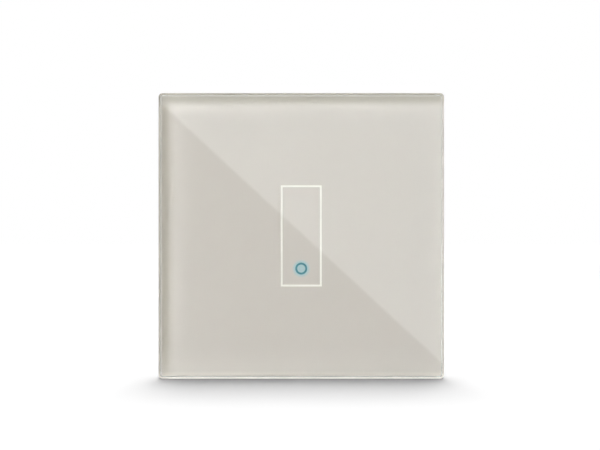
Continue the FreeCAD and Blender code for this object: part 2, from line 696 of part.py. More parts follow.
def make_light_pipe():
    """A clear cup: its rim is the lit ring, and its foot stands over the lamp."""
    rim = "case_front + case_front_wall / 2"
    profile = polygon(("0", rim), ("ring_inner", rim), ("ring_inner", "pipe_front"), ("ring_outer", "pipe_front"),
                      ("ring_outer", "case_inner_front"), ("ring_outer + pipe_flange", "case_inner_front"),
                      ("ring_outer + pipe_flange", "pipe_flange_back"), ("ring_outer", "pipe_flange_back"),
                      ("ring_outer", "pipe_back"), ("0", "pipe_back"))
    turned(new_body("light_pipe"), "0", "-ring_drop", profile)


def make_touch_spring():
    """A coil of square wire, from the touch board to the back of the printed coat."""
    spring = new_body("touch_spring")
    sketch = new_sketch(spring, "XY", {"x": "0", "y": "spring_front", "z": "spring_lift"})
    centred("spring_wire", "spring_wire", "spring_radius")(sketch)
    sketch.recompute()
    coil = spring.newObject("PartDesign::AdditiveHelix", "AdditiveHelix")
    coil.Profile = sketch
    coil.ReferenceAxis = (sketch, ["V_Axis"])
    coil.Mode = "height-turns-angle"
    bind(coil, {"Height": "spring_back - spring_front", "Turns": "spring_turns"})
    coil.recompute()


def make_touch_board():
    board = new_body("touch_board")
    hole = "2 * (stake_half + stake_clear)"
    pad(board, "XZ", "-touch_board_front", "touch_back", bevelled_square("touch_half", "touch_short"),
        *[centred(hole, hole, x, z) for x, z in fours("stake_x", "stake_z")])
    lamp = new_body("status_led")
    pad(lamp, "XZ", "lamp_front", "-touch_board_front", centred("lamp_wide", "lamp_wide / 2", "0", "-ring_drop"))
    chip = new_body("touch_chip")
    pad(chip, "XZ", "touch_back", "touch_back + chip_rise",
        centred("chip_wide", "chip_tall", "0", "radio_low - chip_tall"))
    dress(chip, "Chamfer", "chip_bevel", flat_at("touch_back + chip_rise"))


def make_radio():
    module = new_body("radio_module")
    pad(module, "XZ", "touch_back", "radio_back", centred("radio_wide", "radio_tall", "0", "radio_shift"))
    can = new_body("shield_can")
    side, low = "radio_wide / 2 - can_inset_side", "radio_low + can_inset_side"
    high = "radio_low + radio_tall - can_low"
    pad(can, "XZ", "radio_back", "can_back", rectangle(f"-({side})", low, side, high))
    dress(can, "Fillet", "can_round", flat_at("can_back"))
    cut(can, "XZ", "radio_back", "can_back - can_wall",
        rectangle(f"can_wall - ({side})", f"{low} + can_wall", f"{side} - can_wall", f"{high} - can_wall"))


def header_grid(shape):
    """The header's pin places, as shapes drawn by the given function."""
    columns, rows = round(number("pin_columns")), round(number("pin_rows"))
    for column in range(columns):
        for row in range(rows):
            x = f"header_x + ({row} - (pin_rows - 1) / 2) * pin_pitch"
            z = f"({column} - (pin_columns - 1) / 2) * pin_pitch"
            yield shape(x, z)


def make_header():
    """Two rows of pins on the power board plug into a socket on the touch board."""
    outline = centred("pin_rows * pin_pitch", "pin_columns * pin_pitch", "header_x", "0")
    socket = new_body("header_socket")
    pad(socket, "XZ", "touch_back", "socket_back", outline)
    cut(socket, "XZ", "touch_back + header_rise / 2", "socket_back",
        *header_grid(lambda x, z: centred("pin_side + stake_clear", "pin_side + stake_clear", x, z)))
    header = new_body("pin_header")
    pad(header, "XZ", "socket_back", "board_front", outline)
    pins = list(header_grid(lambda x, z: centred("pin_side", "pin_side", x, z)))
    pad(header, "XZ", "touch_back + header_rise", "socket_back", *pins)


def make_power_board():
    board = new_body("power_board")
    pad(board, "XZ", "board_front", "board_back",
        cut_square("case_inner - board_gap", "case_inner_radius - board_gap"))
    cut(board, "XZ", "board_front", "board_back", *columns("board_gap"))
    tails = [centred("bar_wide + 2 * bar_clear", "bar_thick + 2 * bar_clear", f"{pole} * pole_pitch",
                     "bar_tail - bar_thick / 2") for pole in POLES]
    cut(board, "XZ", "board_front", "board_back", *tails)


def make_terminal_block():
    """The moulded block is open to the board, where the cages and screws go in."""
    block = new_body("terminal_block")
    poles = [f"{pole} * pole_pitch" for pole in POLES]
    pad(block, "XZ", "board_back", "case_depth", rectangle("-block_half", "block_low", "block_half", "block_high"))
    cut(block, "XZ", "board_back", "head_front",
        *[centred("chamber_wide", "chamber_long", x, "screw_z") for x in poles])
    cut(block, "XZ", "head_front", "well_back", *[circle("head_radius + head_clear", x, "screw_z") for x in poles])
    cut(block, "XZ", "well_back", "case_depth", *[circle("keeper_hole", x, "screw_z") for x in poles])
    entry = "floor_back + wire_gap / 2"
    cut(block, "XY", "block_low", "chamber_low", *[centred("wire_entry", "wire_entry", x, entry) for x in poles])
    cut(block, "XY", "chamber_high", "block_high",
        *[rectangle(f"{x} - bar_wide / 2 - bar_clear", "board_back", f"{x} + bar_wide / 2 + bar_clear",
                    "bar_back + bar_clear") for x in poles])


def make_contact_bars():
    bars = new_body("contact_bars")
    tongue = "chamber_low + clamp_gap"
    profile = polygon(("bar_front", tongue), ("bar_back", tongue), ("bar_back", "bar_tail"),
                      ("tail_front", "bar_tail"), ("tail_front", "bar_tail - bar_thick"),
                      ("bar_front", "bar_tail - bar_thick"))
    for pole in POLES:
        middle = f"{pole} * pole_pitch"
        pad(bars, "YZ", f"{middle} - bar_wide / 2", f"{middle} + bar_wide / 2", profile)


def at_pole(body, pole):
    """Move a piece that is drawn on the Y axis to the screw line of its pole."""
    bind(body, {"Placement.Base.x": f"{pole} * pole_pitch", "Placement.Base.z": "screw_z"})


def make_clamp(number_from_left, pole):
    """A rising clamp: the screw bears on the bar and pulls the cage, with the wire in it, up against the bar."""
    cage = new_body(f"clamp_cage_{number_from_left}")
    pad(cage, "XZ", "floor_front", "roof_back", centred("cage_wide", "cage_long"))
    cut(cage, "XY", "-cage_long / 2", "cage_long / 2", centred("cage_mouth", "roof_front - floor_back",
                                                               "0", "(roof_front + floor_back) / 2"))
    cut(cage, "XZ", "roof_front", "roof_back", circle("thread_radius + thread_clear"))
    at_pole(cage, pole)
    screw = new_body(f"terminal_screw_{number_from_left}")
    tip = "bar_back + head_play"
    profile = polygon(("0", tip), ("thread_radius", tip), ("thread_radius", "head_front"),
                      ("head_radius", "head_front"), ("head_radius", "head_back"), ("0", "head_back"))
    turned(screw, "0", "0", profile)
    cut(screw, "XZ", "head_back - driver_depth", "head_back", centred("2 * head_radius", "driver_slot"))
    at_pole(screw, pole)


def make_relay():
    case = new_body("relay_case")
    pad(case, "XZ", "board_back", "relay_back", centred("relay_long", "relay_wide", "relay_x", "relay_z"))
    dress(case, "Fillet", "relay_wall", flat_at("relay_back"))
    cut(case, "XZ", "board_back", "relay_back - relay_wall",
        centred("relay_long - 2 * relay_wall", "relay_wide - 2 * relay_wall", "relay_x", "relay_z"))
    base = new_body("relay_base")
    inside = "2 * (relay_wall + relay_fit)"
    pad(base, "XZ", "board_back", "relay_base_back",
        centred(f"relay_long - {inside}", f"relay_wide - {inside}", "relay_x", "relay_z"))
    bore = circle("coil_core", "coil_y", "relay_z")
    pad(base, "YZ", "coil_left", "coil_right", circle("coil_barrel", "coil_y", "relay_z"), bore)
    for edge in ("coil_left", "coil_right - coil_flange_thick"):
        pad(base, "YZ", edge, f"{edge} + coil_flange_thick",
            centred("2 * coil_flange", "2 * coil_flange", "coil_y", "relay_z"), bore)
        pad(base, "XZ", "relay_base_back", "coil_y - coil_barrel",
            centred("coil_flange_thick", "2 * coil_barrel", f"{edge} + coil_flange_thick / 2", "relay_z"))
    coil = new_body("relay_coil")
    winding = rectangle("coil_flange_thick", "coil_barrel", "coil_long - coil_flange_thick", "coil_winding")
    turned(coil, "coil_left", "relay_z", winding, axis="H_Axis", y="coil_y")


def make_relay_iron():
    """The core and its bent yoke carry the flux round to the armature at the free end."""
    yoke = new_body("relay_yoke")
    core = rectangle("-yoke_gap", "0", "coil_long + core_proud", "coil_core")
    turned(yoke, "coil_left", "relay_z", core, axis="H_Axis", y="coil_y")
    left = "coil_left - yoke_gap - yoke_thick"
    bend = polygon((left, "coil_y - coil_barrel"), ("coil_left - yoke_gap", "coil_y - coil_barrel"),
                   ("coil_left - yoke_gap", "yoke_y"), ("armature_x - armature_clear", "yoke_y"),
                   ("armature_x - armature_clear", "armature_back"), (left, "armature_back"))
    pad(yoke, "XY", "relay_z - yoke_wide / 2", "relay_z + yoke_wide / 2", bend)
    armature = new_body("relay_armature")
    low, high = "relay_z - yoke_wide / 2", "relay_z + yoke_wide / 2"
    pad(armature, "XY", low, high,
        rectangle("armature_x", "coil_y - armature_reach", "armature_x + yoke_thick", "armature_back"))
    pad(armature, "XY", "relay_z - strip_wide / 2", "relay_z + strip_wide / 2",
        rectangle("armature_x + yoke_thick", "contact_y - contact_radius", "armature_x + yoke_thick + strip_thick",
                  "hinge_y"))
    pad(armature, "YZ", "armature_x + yoke_thick - contact_rise", "armature_x + yoke_thick",
        circle("contact_radius", "contact_y", "relay_z"))


def make_relay_contacts():
    """The fixed make contact stands between the coil and the armature strip, on a leg through the board."""
    contacts = new_body("relay_contacts")
    face = "armature_x + yoke_thick - contact_rise - contact_gap"
    pad(contacts, "YZ", f"{face} - contact_rise", face, circle("contact_radius", "contact_y", "relay_z"))
    pad(contacts, "XY", "relay_z - strip_wide / 2", "relay_z + strip_wide / 2",
        rectangle(f"{face} - contact_rise - strip_thick", "relay_base_back", f"{face} - contact_rise",
                  "contact_y + contact_radius"))


def make_transformer():
    core = new_body("transformer_core")
    window = "(core_wide - 2 * core_leg - core_centre) / 2"
    windows = [centred(window, "core_tall - 2 * core_leg", f"core_x + {way} * (core_centre + {window}) / 2",
                       "core_z") for way in (1, -1)]
    pad(core, "XZ", "core_front", "core_back", centred("core_wide", "core_tall", "core_x", "core_z"), *windows)
    coil = new_body("transformer_coil")
    hollow_x, hollow_y = "core_centre / 2 + winding_fit", "core_thick / 2 + winding_fit"
    outer_x, outer_y = f"core_centre / 2 + {window} - winding_fit", "core_thick / 2 + winding_proud"
    middle = "(core_front + core_back) / 2"
    half_long = "core_tall / 2 - core_leg - winding_fit"
    pad(coil, "XY", f"core_z - ({half_long})", f"core_z + {half_long}",
        rounded(outer_x, outer_y, "winding_proud / 2", "core_x", middle),
        rounded(hollow_x, hollow_y, "winding_fit", "core_x", middle))
    pad(coil, "XZ", "board_back", "winding_front + winding_proud / 2",
        centred("core_centre", "bobbin_foot", "core_x", "core_z"))


def make_small_parts():
    """Parts that stand on the power board."""
    cans = new_body("smoothing_capacitors")
    pad(cans, "XZ", "board_back", "board_back + can_tall",
        *[circle("can_radius", f"can_x + {way} * can_spread", "can_z") for way in (1, -1)])
    film = new_body("film_capacitor")
    pad(film, "XZ", "board_back", "board_back + film_rise", centred("film_wide", "film_tall", "0", "film_z"))
    dress(film, "Fillet", "film_corner", flat_at("board_back + film_rise"))
    varistor = new_body("varistor")
    disc_y = "disc_front + disc_radius"
    pad(varistor, "YZ", "disc_x - disc_thick / 2", "disc_x + disc_thick / 2", circle("disc_radius", disc_y, "disc_z"))
    pad(varistor, "XZ", "board_back", disc_y,
        *[centred("2 * lead_half", "2 * lead_half", f"disc_x + {way} * lead_spread", "disc_z") for way in (1, -1)])
    fuse = new_body("fuse")
    pad(fuse, "XZ", "board_back", "board_back + fuse_rise", circle("fuse_radius", "fuse_x", "fuse_z"))
    bridge = new_body("rectifier")
    pad(bridge, "XZ", "board_back", "board_back + bridge_rise",
        centred("bridge_wide", "bridge_tall", "bridge_x", "bridge_z"))
    dress(bridge, "Chamfer", "chip_bevel", flat_at("board_back + bridge_rise"))
    chip = new_body("converter_chip")
    pad(chip, "XZ", "board_front - chip_rise", "board_front", centred("chip_wide", "chip_tall", "core_x", "0"))
    dress(chip, "Chamfer", "chip_bevel", flat_at("board_front - chip_rise"))


def finished_parts():
    """Gather the sub-parts, after making sure that nothing in the document failed."""
    doc.recompute()
    for item in doc.Objects:
        if {"Invalid", "Error"} & set(item.State):
            raise ValueError(f"{item.Name} ({item.Label}) is {item.State}")
    parts = [item for item in doc.Objects if item.TypeId == "PartDesign::Body"]
    for part in parts:
        if part.Shape.isNull() or not part.Shape.isValid() or not part.Shape.Solids:
            raise ValueError(f"{part.Label}: no valid solid")
    return parts


def main():
    fill_sheets()
    for make in (make_glass, make_print, make_tape, make_cover_frame, make_plate, make_clips, make_front_housing,
                 make_rear_housing, make_case_screws, make_light_pipe, make_touch_spring, make_touch_board,
                 make_radio, make_header, make_power_board, make_terminal_block, make_contact_bars, make_relay,
                 make_relay_iron, make_relay_contacts, make_transformer, make_small_parts):
        make()
    for number_from_left, pole in enumerate(POLES, start=1):
        make_clamp(number_from_left, pole)
    parts = finished_parts()
    os.makedirs("parts", exist_ok=True)
    for part in parts:
        part.Shape.exportStep(f"parts/{part.Label}.step")
        print(f"{part.Label}: {len(part.Shape.Solids)} solids, {part.Shape.Volume:.1f} mm3")


main()
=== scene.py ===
"""Smart touch switch: the finish of every piece, its fine parts, the studio and the camera."""
import json
import logging
import math
from dataclasses import dataclass, field, replace
from enum import Enum
from typing import Any, Iterable

import bmesh
import bpy
from mathutils import Matrix, Vector


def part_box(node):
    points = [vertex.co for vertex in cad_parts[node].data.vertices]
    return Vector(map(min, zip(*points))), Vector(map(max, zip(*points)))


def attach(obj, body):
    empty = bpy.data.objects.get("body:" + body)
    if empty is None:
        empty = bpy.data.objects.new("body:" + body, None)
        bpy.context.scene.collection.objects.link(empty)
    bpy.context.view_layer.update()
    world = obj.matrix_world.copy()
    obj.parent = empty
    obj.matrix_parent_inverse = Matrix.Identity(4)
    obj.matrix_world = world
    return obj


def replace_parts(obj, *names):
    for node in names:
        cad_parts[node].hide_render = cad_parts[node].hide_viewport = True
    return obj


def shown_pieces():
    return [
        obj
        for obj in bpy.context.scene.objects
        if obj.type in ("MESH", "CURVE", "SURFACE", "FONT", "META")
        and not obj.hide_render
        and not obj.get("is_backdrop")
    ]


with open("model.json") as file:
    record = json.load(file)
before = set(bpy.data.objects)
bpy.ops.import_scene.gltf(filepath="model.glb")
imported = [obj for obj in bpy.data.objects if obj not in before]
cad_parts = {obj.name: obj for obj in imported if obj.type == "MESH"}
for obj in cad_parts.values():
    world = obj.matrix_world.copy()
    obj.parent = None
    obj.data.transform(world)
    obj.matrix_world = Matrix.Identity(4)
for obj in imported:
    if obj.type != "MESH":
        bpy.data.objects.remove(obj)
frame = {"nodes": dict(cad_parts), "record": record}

log = logging.getLogger("touch_switch")
MM = 0.001
WAVE_RADIANS = 20  # a wave texture runs through this much for each unit of its scaled place
NOISE_ENDS = (0.3, 0.7)  # between these lies nearly all that a noise texture gives
NO_WAY = 1e-12  # a way shorter than this never meets the side ahead of it
Point = tuple[float, float]
Colour = tuple[float, float, float, float]
Tree = bpy.types.NodeTree
Socket = bpy.types.NodeSocket


class Grain(Enum):
    """How the surface was made, which sets its pattern."""

    MOULDED = "spark-eroded mould skin"
    SPANGLE = "zinc plating on rolled sheet"
    BRUSHED = "drawn or ground along one axis"
    LAMINATE = "glass-epoxy board under solder mask"
    PRINTED = "screen-printed ink"
    WOUND = "turns of wire or tape"
    FOAM = "closed-cell foam"
    FIRED = "pressed and fired powder"


class Across(Enum):
    """The axis that a directed grain runs across."""

    X = (1.0, 0.0, 0.0)
    Y = (0.0, 1.0, 0.0)
    Z = (0.0, 0.0, 1.0)


def linear(hex_colour: str) -> Colour:
    """Turn an sRGB hex colour into the linear one that shaders use.

    Args:
        hex_colour: six hex digits after a hash.

    Returns:
        Linear red, green, blue and an alpha of 1.
    """
    parts = [int(hex_colour[place:place + 2], 16) / 255 for place in (1, 3, 5)]
    curve = [part / 12.92 if part <= 0.04045 else ((part + 0.055) / 1.055) ** 2.4 for part in parts]
    return (*curve, 1.0)


def add_node(tree: Tree, kind: str, settings: dict[str, Any] | None = None,
             inputs: dict[Any, Any] | None = None) -> bpy.types.Node:
    """Add a node, set its properties, and fill or link its inputs.

    Args:
        tree: the node tree that takes it.
        kind: the node's type name without its prefix.
        settings: properties to set on the node.
        inputs: socket name or number to a value, or to an output socket to link.

    Returns:
        The new node.
    """
    node = tree.nodes.new("ShaderNode" + kind)
    for name, value in (settings or {}).items():
        setattr(node, name, value)
    for name, value in (inputs or {}).items():
        if isinstance(value, Socket):
            tree.links.new(value, node.inputs[name])
        else:
            node.inputs[name].default_value = value
    return node


def node_material(name: str) -> tuple[bpy.types.Material, Tree]:
    """Make a material that uses nodes.

    Args:
        name: the material's name.

    Returns:
        The material and its nodes, which are Blender's first principled shader and output.
    """
    material = bpy.data.materials.new(name)
    material.use_nodes = True
    return material, material.node_tree


def object_place(tree: Tree) -> Socket:
    """Add object coordinates, in metres."""
    return add_node(tree, "TexCoord").outputs["Object"]


def shade(hex_colour: str, factor: float) -> Colour:
    """Scale a colour's light.

    Args:
        hex_colour: the sRGB hex colour.
        factor: 1 keeps it, less darkens it.

    Returns:
        The linear colour.
    """
    red, green, blue, alpha = linear(hex_colour)
    return (min(red * factor, 1.0), min(green * factor, 1.0), min(blue * factor, 1.0), alpha)


def ramp(tree: Tree, factor: Socket, stops: Iterable[tuple[float, Colour]]) -> Socket:
    """Add a colour ramp.

    Args:
        tree: the node tree.
        factor: what drives the ramp.
        stops: position and colour pairs, two or more.

    Returns:
        The ramp's colour output.
    """
    node = add_node(tree, "ValToRGB", inputs={"Fac": factor})
    elements = node.color_ramp.elements
    stops = list(stops)
    while len(elements) < len(stops):
        elements.new(0.5)
    for element, (position, colour) in zip(elements, stops):
        element.position = position
        element.color = colour
    return node.outputs["Color"]


@dataclass(frozen=True)
class Finish:
    """A surface finish: what it is made of, how it was made and how that looks.

    Sizes are real ones in mm, but a grain finer than about 0.1 mm, such as drawing lines or a mould's skin,
    would not show at all, so it is drawn at 0.1 to 0.4 mm.

    Attributes:
        name: the material's name.
        colour: its colour in sRGB hex.
        roughness: of its polish, 0 for a mirror.
        metallic: 1 for a metal.
        ior: for what isn't a metal.
        grain: the kind of pattern.
        grain_mm: the pattern's size.
        contrast: how much lighter and darker the pattern makes the colour.
        relief_mm: how high the pattern stands.
        across: the axis across which a directed grain runs.
        coat: the share of a clear coat on top.
        edge_mm: how far the light rounds its edges.
    """

    name: str
    colour: str
    roughness: float
    metallic: float = 0.0
    ior: float = 1.5
    grain: Grain = Grain.MOULDED
    grain_mm: float = 0.35
    contrast: float = 0.06
    relief_mm: float = 0.01
    across: Across = Across.X
    coat: float = 0.0
    edge_mm: float = 0.15

    def pattern(self, tree: Tree, place: Socket) -> Socket:
        """Add the pattern of the grain.

        Args:
            tree: the material's nodes.
            place: object coordinates in metres.

        Returns:
            A value from 0 to 1.
        """
        scale = 1 / (self.grain_mm * MM)
        if self.grain is Grain.BRUSHED:
            # The lines run 25 times as long as they are wide.
            drawn_out = [1.0 if part else 1 / 25 for part in self.across.value]
            stretched = add_node(tree, "Mapping", {"vector_type": "POINT"}, {"Vector": place, "Scale": drawn_out})
            place = stretched.outputs["Vector"]
        if self.grain is Grain.WOUND:
            wave = add_node(tree, "TexWave", {"wave_type": "BANDS", "bands_direction": self.across.name},
                            {"Vector": place, "Scale": scale * math.pi / WAVE_RADIANS, "Distortion": 0.6,
                             "Detail Scale": 0.5})
            return wave.outputs["Fac"]
        if self.grain is Grain.SPANGLE:
            cells = add_node(tree, "TexVoronoi", {"feature": "F1"}, {"Vector": place, "Scale": scale})
            grey = add_node(tree, "RGBToBW", inputs={"Color": cells.outputs["Color"]})
            return grey.outputs["Val"]
        if self.grain is Grain.LAMINATE:
            # The cloth's threads lie about 0.6 mm apart; they are drawn at the grain's size so that they show.
            weave = add_node(tree, "TexBrick", {"offset": 0.0},
                             {"Vector": place, "Scale": scale, "Mortar Size": 0.08, "Mortar Smooth": 0.6,
                              "Color1": (1, 1, 1, 1), "Color2": (0.7, 0.7, 0.7, 1), "Mortar": (0, 0, 0, 1)})
            return weave.outputs["Color"]
        octaves = {Grain.FOAM: 1.0, Grain.PRINTED: 4.0}.get(self.grain, 3.0)
        noise = add_node(tree, "TexNoise", inputs={"Vector": place, "Scale": scale, "Detail": octaves,
                                                   "Roughness": 0.6})
        return noise.outputs["Fac"]

    def surface(self, tree: Tree, place: Socket, value: Socket) -> Socket:
        """Add the colour of the surface.

        Args:
            tree: the material's nodes.
            place: object coordinates in metres; not used by this plain surface.
            value: the grain's pattern.

        Returns:
            The colour output.
        """
        shades = (shade(self.colour, 1 - self.contrast), shade(self.colour, 1 + self.contrast))
        return ramp(tree, value, zip(NOISE_ENDS, shades))

    def build(self) -> bpy.types.Material:
        """Make the material.

        Returns:
            The material, with its nodes.
        """
        material, tree = node_material(self.name)
        shader = tree.nodes["Principled BSDF"]
        place = object_place(tree)
        value = self.pattern(tree, place)
        tree.links.new(self.surface(tree, place, value), shader.inputs["Base Color"])
        eased = add_node(tree, "Bevel", {"samples": 4}, {"Radius": self.edge_mm * MM})
        bump = add_node(tree, "Bump", inputs={"Height": value, "Distance": self.relief_mm * MM, "Strength": 0.6,
                                              "Normal": eased.outputs["Normal"]})
        tree.links.new(bump.outputs["Normal"], shader.inputs["Normal"])
        shader.inputs["Roughness"].default_value = self.roughness
        shader.inputs["Metallic"].default_value = self.metallic
        if not self.metallic:
            shader.inputs["IOR"].default_value = self.ior
        shader.inputs["Coat Weight"].default_value = self.coat
        return material


@dataclass(frozen=True)
class ClearFinish:
    """Clear glass or acrylic, which lets the light through and bends it.

    Attributes:
        name: the material's name.
        colour: its tint in sRGB hex.
        ior: how far it bends light.
        roughness: 0 where it is polished.
        waves_per_m: how close the waves of its polish lie.
        wave_mm: how high they stand.
    """

    name: str
    colour: str
    ior: float
    roughness: float
    waves_per_m: float = 60.0
    wave_mm: float = 0.02

    def build(self) -> bpy.types.Material:
        """Make the material: a faint waviness keeps the polish from looking perfect.

        Returns:
            The material, with its nodes.
        """
        material, tree = node_material(self.name)
        shader = tree.nodes["Principled BSDF"]
        shader.inputs["Base Color"].default_value = linear(self.colour)
        shader.inputs["Transmission Weight"].default_value = 1.0
        shader.inputs["IOR"].default_value = self.ior
        shader.inputs["Roughness"].default_value = self.roughness
        wave = add_node(tree, "TexNoise", inputs={"Vector": object_place(tree), "Scale": self.waves_per_m,
                                                  "Detail": 0.0})
        bump = add_node(tree, "Bump", inputs={"Height": wave.outputs["Fac"], "Distance": self.wave_mm * MM,
                                              "Strength": 0.1})
        tree.links.new(bump.outputs["Normal"], shader.inputs["Normal"])
        return material


@dataclass(frozen=True)
class CoatFinish(Finish):
    """The printed coat, with painted shade and light on its margins and a painted glow round its ring.

    Painted shade: the ink is darkened along the left and upper margins, where the glass's edge would keep light off
    it.
    Painted light: the lowest margin of the ink is lightened, as if the table threw light back up through the edge.

    Attributes:
        glow: the ink's colour in the painted glow, where the lamp would shine through.
        painted_glow_centre: the middle of the painted glow, in metres.
        painted_glow_mm: how far from there the painted glow begins to fade and where it ends.
        half_mm: half the side of the glass.
        shadow: the colour by which the painted shade multiplies the left and upper margins.
        painted_shadow_left: pairs of mm in from the edge and the painted shade's share there.
        painted_shadow_above: the same for the painted shade of the upper margin.
        lit: the colour to which the painted light lifts the lowest margin.
        painted_light_below: the same pairs for that painted light.
    """

    # Painted glow: the ink turns blue-green inside and just round the ring, standing in for the lamp's light through
    # it.
    glow: str = "#AECACE"
    painted_glow_centre: tuple[float, float, float] = (0.0, 0.0, 0.0)
    painted_glow_mm: Point = (1.9, 3.0)
    half_mm: float = 44.0
    # Painted shade: the left and upper margins are multiplied by this colour, standing in for the glass edge's shade.
    shadow: str = "#E0DFD6"
    painted_shadow_left: tuple[Point, ...] = ((0.6, 0.1), (1.2, 0.6), (1.8, 0.72), (2.6, 0.66), (3.4, 0.32), (5.0, 0.0))
    painted_shadow_above: tuple[Point, ...] = ((0.5, 0.1), (1.1, 0.9), (2.0, 0.9), (3.2, 0.3), (4.2, 0.0))
    # Painted light: the lowest margin is lifted towards this colour, standing in for light thrown up from the table.
    lit: str = "#EEE8DF"
    painted_light_below: tuple[Point, ...] = ((0.8, 1.0), (1.3, 0.7), (2.0, 0.36), (3.0, 0.26), (5.8, 0.12), (10.0, 0.0))

    def surface(self, tree: Tree, place: Socket, value: Socket) -> Socket:
        """Add the ink's colour, with a painted glow as a soft disc about its centre, then painted shade and light on
        its margins.

        Args:
            tree: the material's nodes.
            place: object coordinates in metres.
            value: the grain's pattern.

        Returns:
            The colour output.
        """
        plain = super().surface(tree, place, value)
        # Painted glow: mix the ink to blue-green by distance from the ring's centre.
        away = add_node(tree, "VectorMath", {"operation": "DISTANCE"}, {0: place, 1: self.painted_glow_centre})
        inner, outer = self.painted_glow_mm
        reach = add_node(tree, "MapRange", {"interpolation_type": "SMOOTHSTEP"},
                         {"Value": away.outputs["Value"], "From Min": inner * MM, "From Max": outer * MM,
                          "To Min": 1.0, "To Max": 0.0})
        painted_glow_colour = add_node(tree, "Mix", {"data_type": "RGBA"},
                           {"Factor": reach.outputs["Result"], "A": plain, "B": linear(self.glow)})
        apart = add_node(tree, "SeparateXYZ", inputs={"Vector": place})
        # Painted shade on the left and upper margins.
        left = self.margin(tree, apart.outputs["X"], -1, self.painted_shadow_left)
        above = self.margin(tree, apart.outputs["Z"], 1, self.painted_shadow_above)
        painted_shade_share = add_node(tree, "Math", {"operation": "MAXIMUM"}, {0: left, 1: above})
        shaded = add_node(tree, "Mix", {"data_type": "RGBA", "blend_type": "MULTIPLY"},
                          {"Factor": painted_shade_share.outputs["Value"], "A": painted_glow_colour.outputs["Result"],
                           "B": linear(self.shadow)})
        # Painted light on the lowest margin.
        below = self.margin(tree, apart.outputs["Z"], -1, self.painted_light_below)
        painted_light_colour = add_node(tree, "Mix", {"data_type": "RGBA"},
                          {"Factor": below, "A": shaded.outputs["Result"], "B": linear(self.lit)})
        return painted_light_colour.outputs["Result"]

    def margin(self, tree: Tree, along: Socket, side: int, shares: tuple[Point, ...]) -> Socket:
        """Add how far one painted margin reaches in from the edge of the coat; it serves the painted shade and light.

        Args:
            tree: the material's nodes.
            along: the coordinate across the edge, in metres.
            side: -1 for the low edge, 1 for the high edge.
            shares: pairs of the distance in from the edge, in mm, and the margin's share there.

        Returns:
            The margin's share, 0 to 1.
        """
        widest = shares[-1][0]
        inward = add_node(tree, "MapRange", inputs={
            "Value": along, "From Min": side * self.half_mm * MM, "From Max": side * (self.half_mm - widest) * MM})
        return ramp(tree, inward.outputs["Result"],
                    ((distance / widest, (share, share, share, 1.0)) for distance, share in shares))


@dataclass(frozen=True)
class LitFinish:
    """A window lit from behind.

    Attributes:
        name: the material's name.
        colour: of the window and its light, in sRGB hex.
        strength: of the light.
        clouds_per_m: how close the lighter and darker places lie.
        unevenness: how much lighter and darker they are.
    """

    name: str
    colour: str
    strength: float
    clouds_per_m: float = 900.0
    unevenness: float = 0.08

    def build(self) -> bpy.types.Material:
        """Make the material: the light is a little uneven where the lamp sits.

        Returns:
            The material, with its nodes.
        """
        material, tree = node_material(self.name)
        shader = tree.nodes["Principled BSDF"]
        cloud = add_node(tree, "TexNoise", inputs={"Vector": object_place(tree), "Scale": self.clouds_per_m,
                                                   "Detail": 1.0})
        shades = (shade(self.colour, 1 - self.unevenness), shade(self.colour, 1 + self.unevenness))
        tint = ramp(tree, cloud.outputs["Fac"], zip(NOISE_ENDS, shades))
        tree.links.new(tint, shader.inputs["Base Color"])
        tree.links.new(tint, shader.inputs["Emission Color"])
        shader.inputs["Emission Strength"].default_value = self.strength
        shader.inputs["Roughness"].default_value = 0.5
        return material


def mesh_piece(name: str, build: bmesh.types.BMesh, body: str, *finishes: bpy.types.Material,
               sharp_degrees: float = 32.0) -> bpy.types.Object:
    """Turn a bmesh into a piece that rides on a body.

    Args:
        name: the piece's name.
        build: the bmesh, in metres in the row's frame; it is freed.
        body: the body that it moves with.
        finishes: its materials, one for each material index of its faces.
        sharp_degrees: edges that turn by more than this stay sharp, and the rest are shaded smooth.

    Returns:
        The new object.
    """
    bmesh.ops.recalc_face_normals(build, faces=build.faces)
    mesh = bpy.data.meshes.new(name)
    build.to_mesh(mesh)
    build.free()
    mesh.shade_smooth()
    mesh.set_sharp_from_angle(angle=math.radians(sharp_degrees))
    for finish in finishes:
        mesh.materials.append(finish)
    piece = bpy.data.objects.new(name, mesh)
    bpy.context.scene.collection.objects.link(piece)
    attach(piece, body)
    return piece


def ring_of(radius: float, centre: Point, count: int) -> list[Point]:
    """Points round a circle, in metres, counterclockwise."""
    steps = [2 * math.pi * step / count for step in range(count)]
    return [(centre[0] + radius * math.cos(angle), centre[1] + radius * math.sin(angle)) for angle in steps]


def box_ring(half_x: float, half_z: float, centre: Point = (0.0, 0.0)) -> list[Point]:
    """Corners of a rectangle, in metres, counterclockwise."""
    x, z = centre
    return [(x - half_x, z - half_z), (x + half_x, z - half_z), (x + half_x, z + half_z), (x - half_x, z + half_z)]


def prism(build: bmesh.types.BMesh, outer: list[Point], inner: list[Point] | None, front: float,
          back: float) -> None:
    """Add a flat prism, or a frame where there is an inner outline.

    Args:
        build: the bmesh that takes it.
        outer: the outline in x and z.
        inner: the hole's outline with as many corners, or None.
        front: the y of the front.
        back: the y of the back.
    """
    loops = []
    for outline in (outer, inner):
        if outline is not None:
            loops.append([[build.verts.new((x, y, z)) for x, z in outline] for y in (front, back)])
    count = len(outer)
    for fore, aft in loops:
        for step in range(count):
            build.faces.new((fore[step], fore[step - 1], aft[step - 1], aft[step]))
    for level in (0, 1):
        if inner is None:
            build.faces.new(loops[0][level])
            continue
        for step in range(count):
            build.faces.new((loops[0][level][step], loops[0][level][step - 1], loops[1][level][step - 1],
                             loops[1][level][step]))


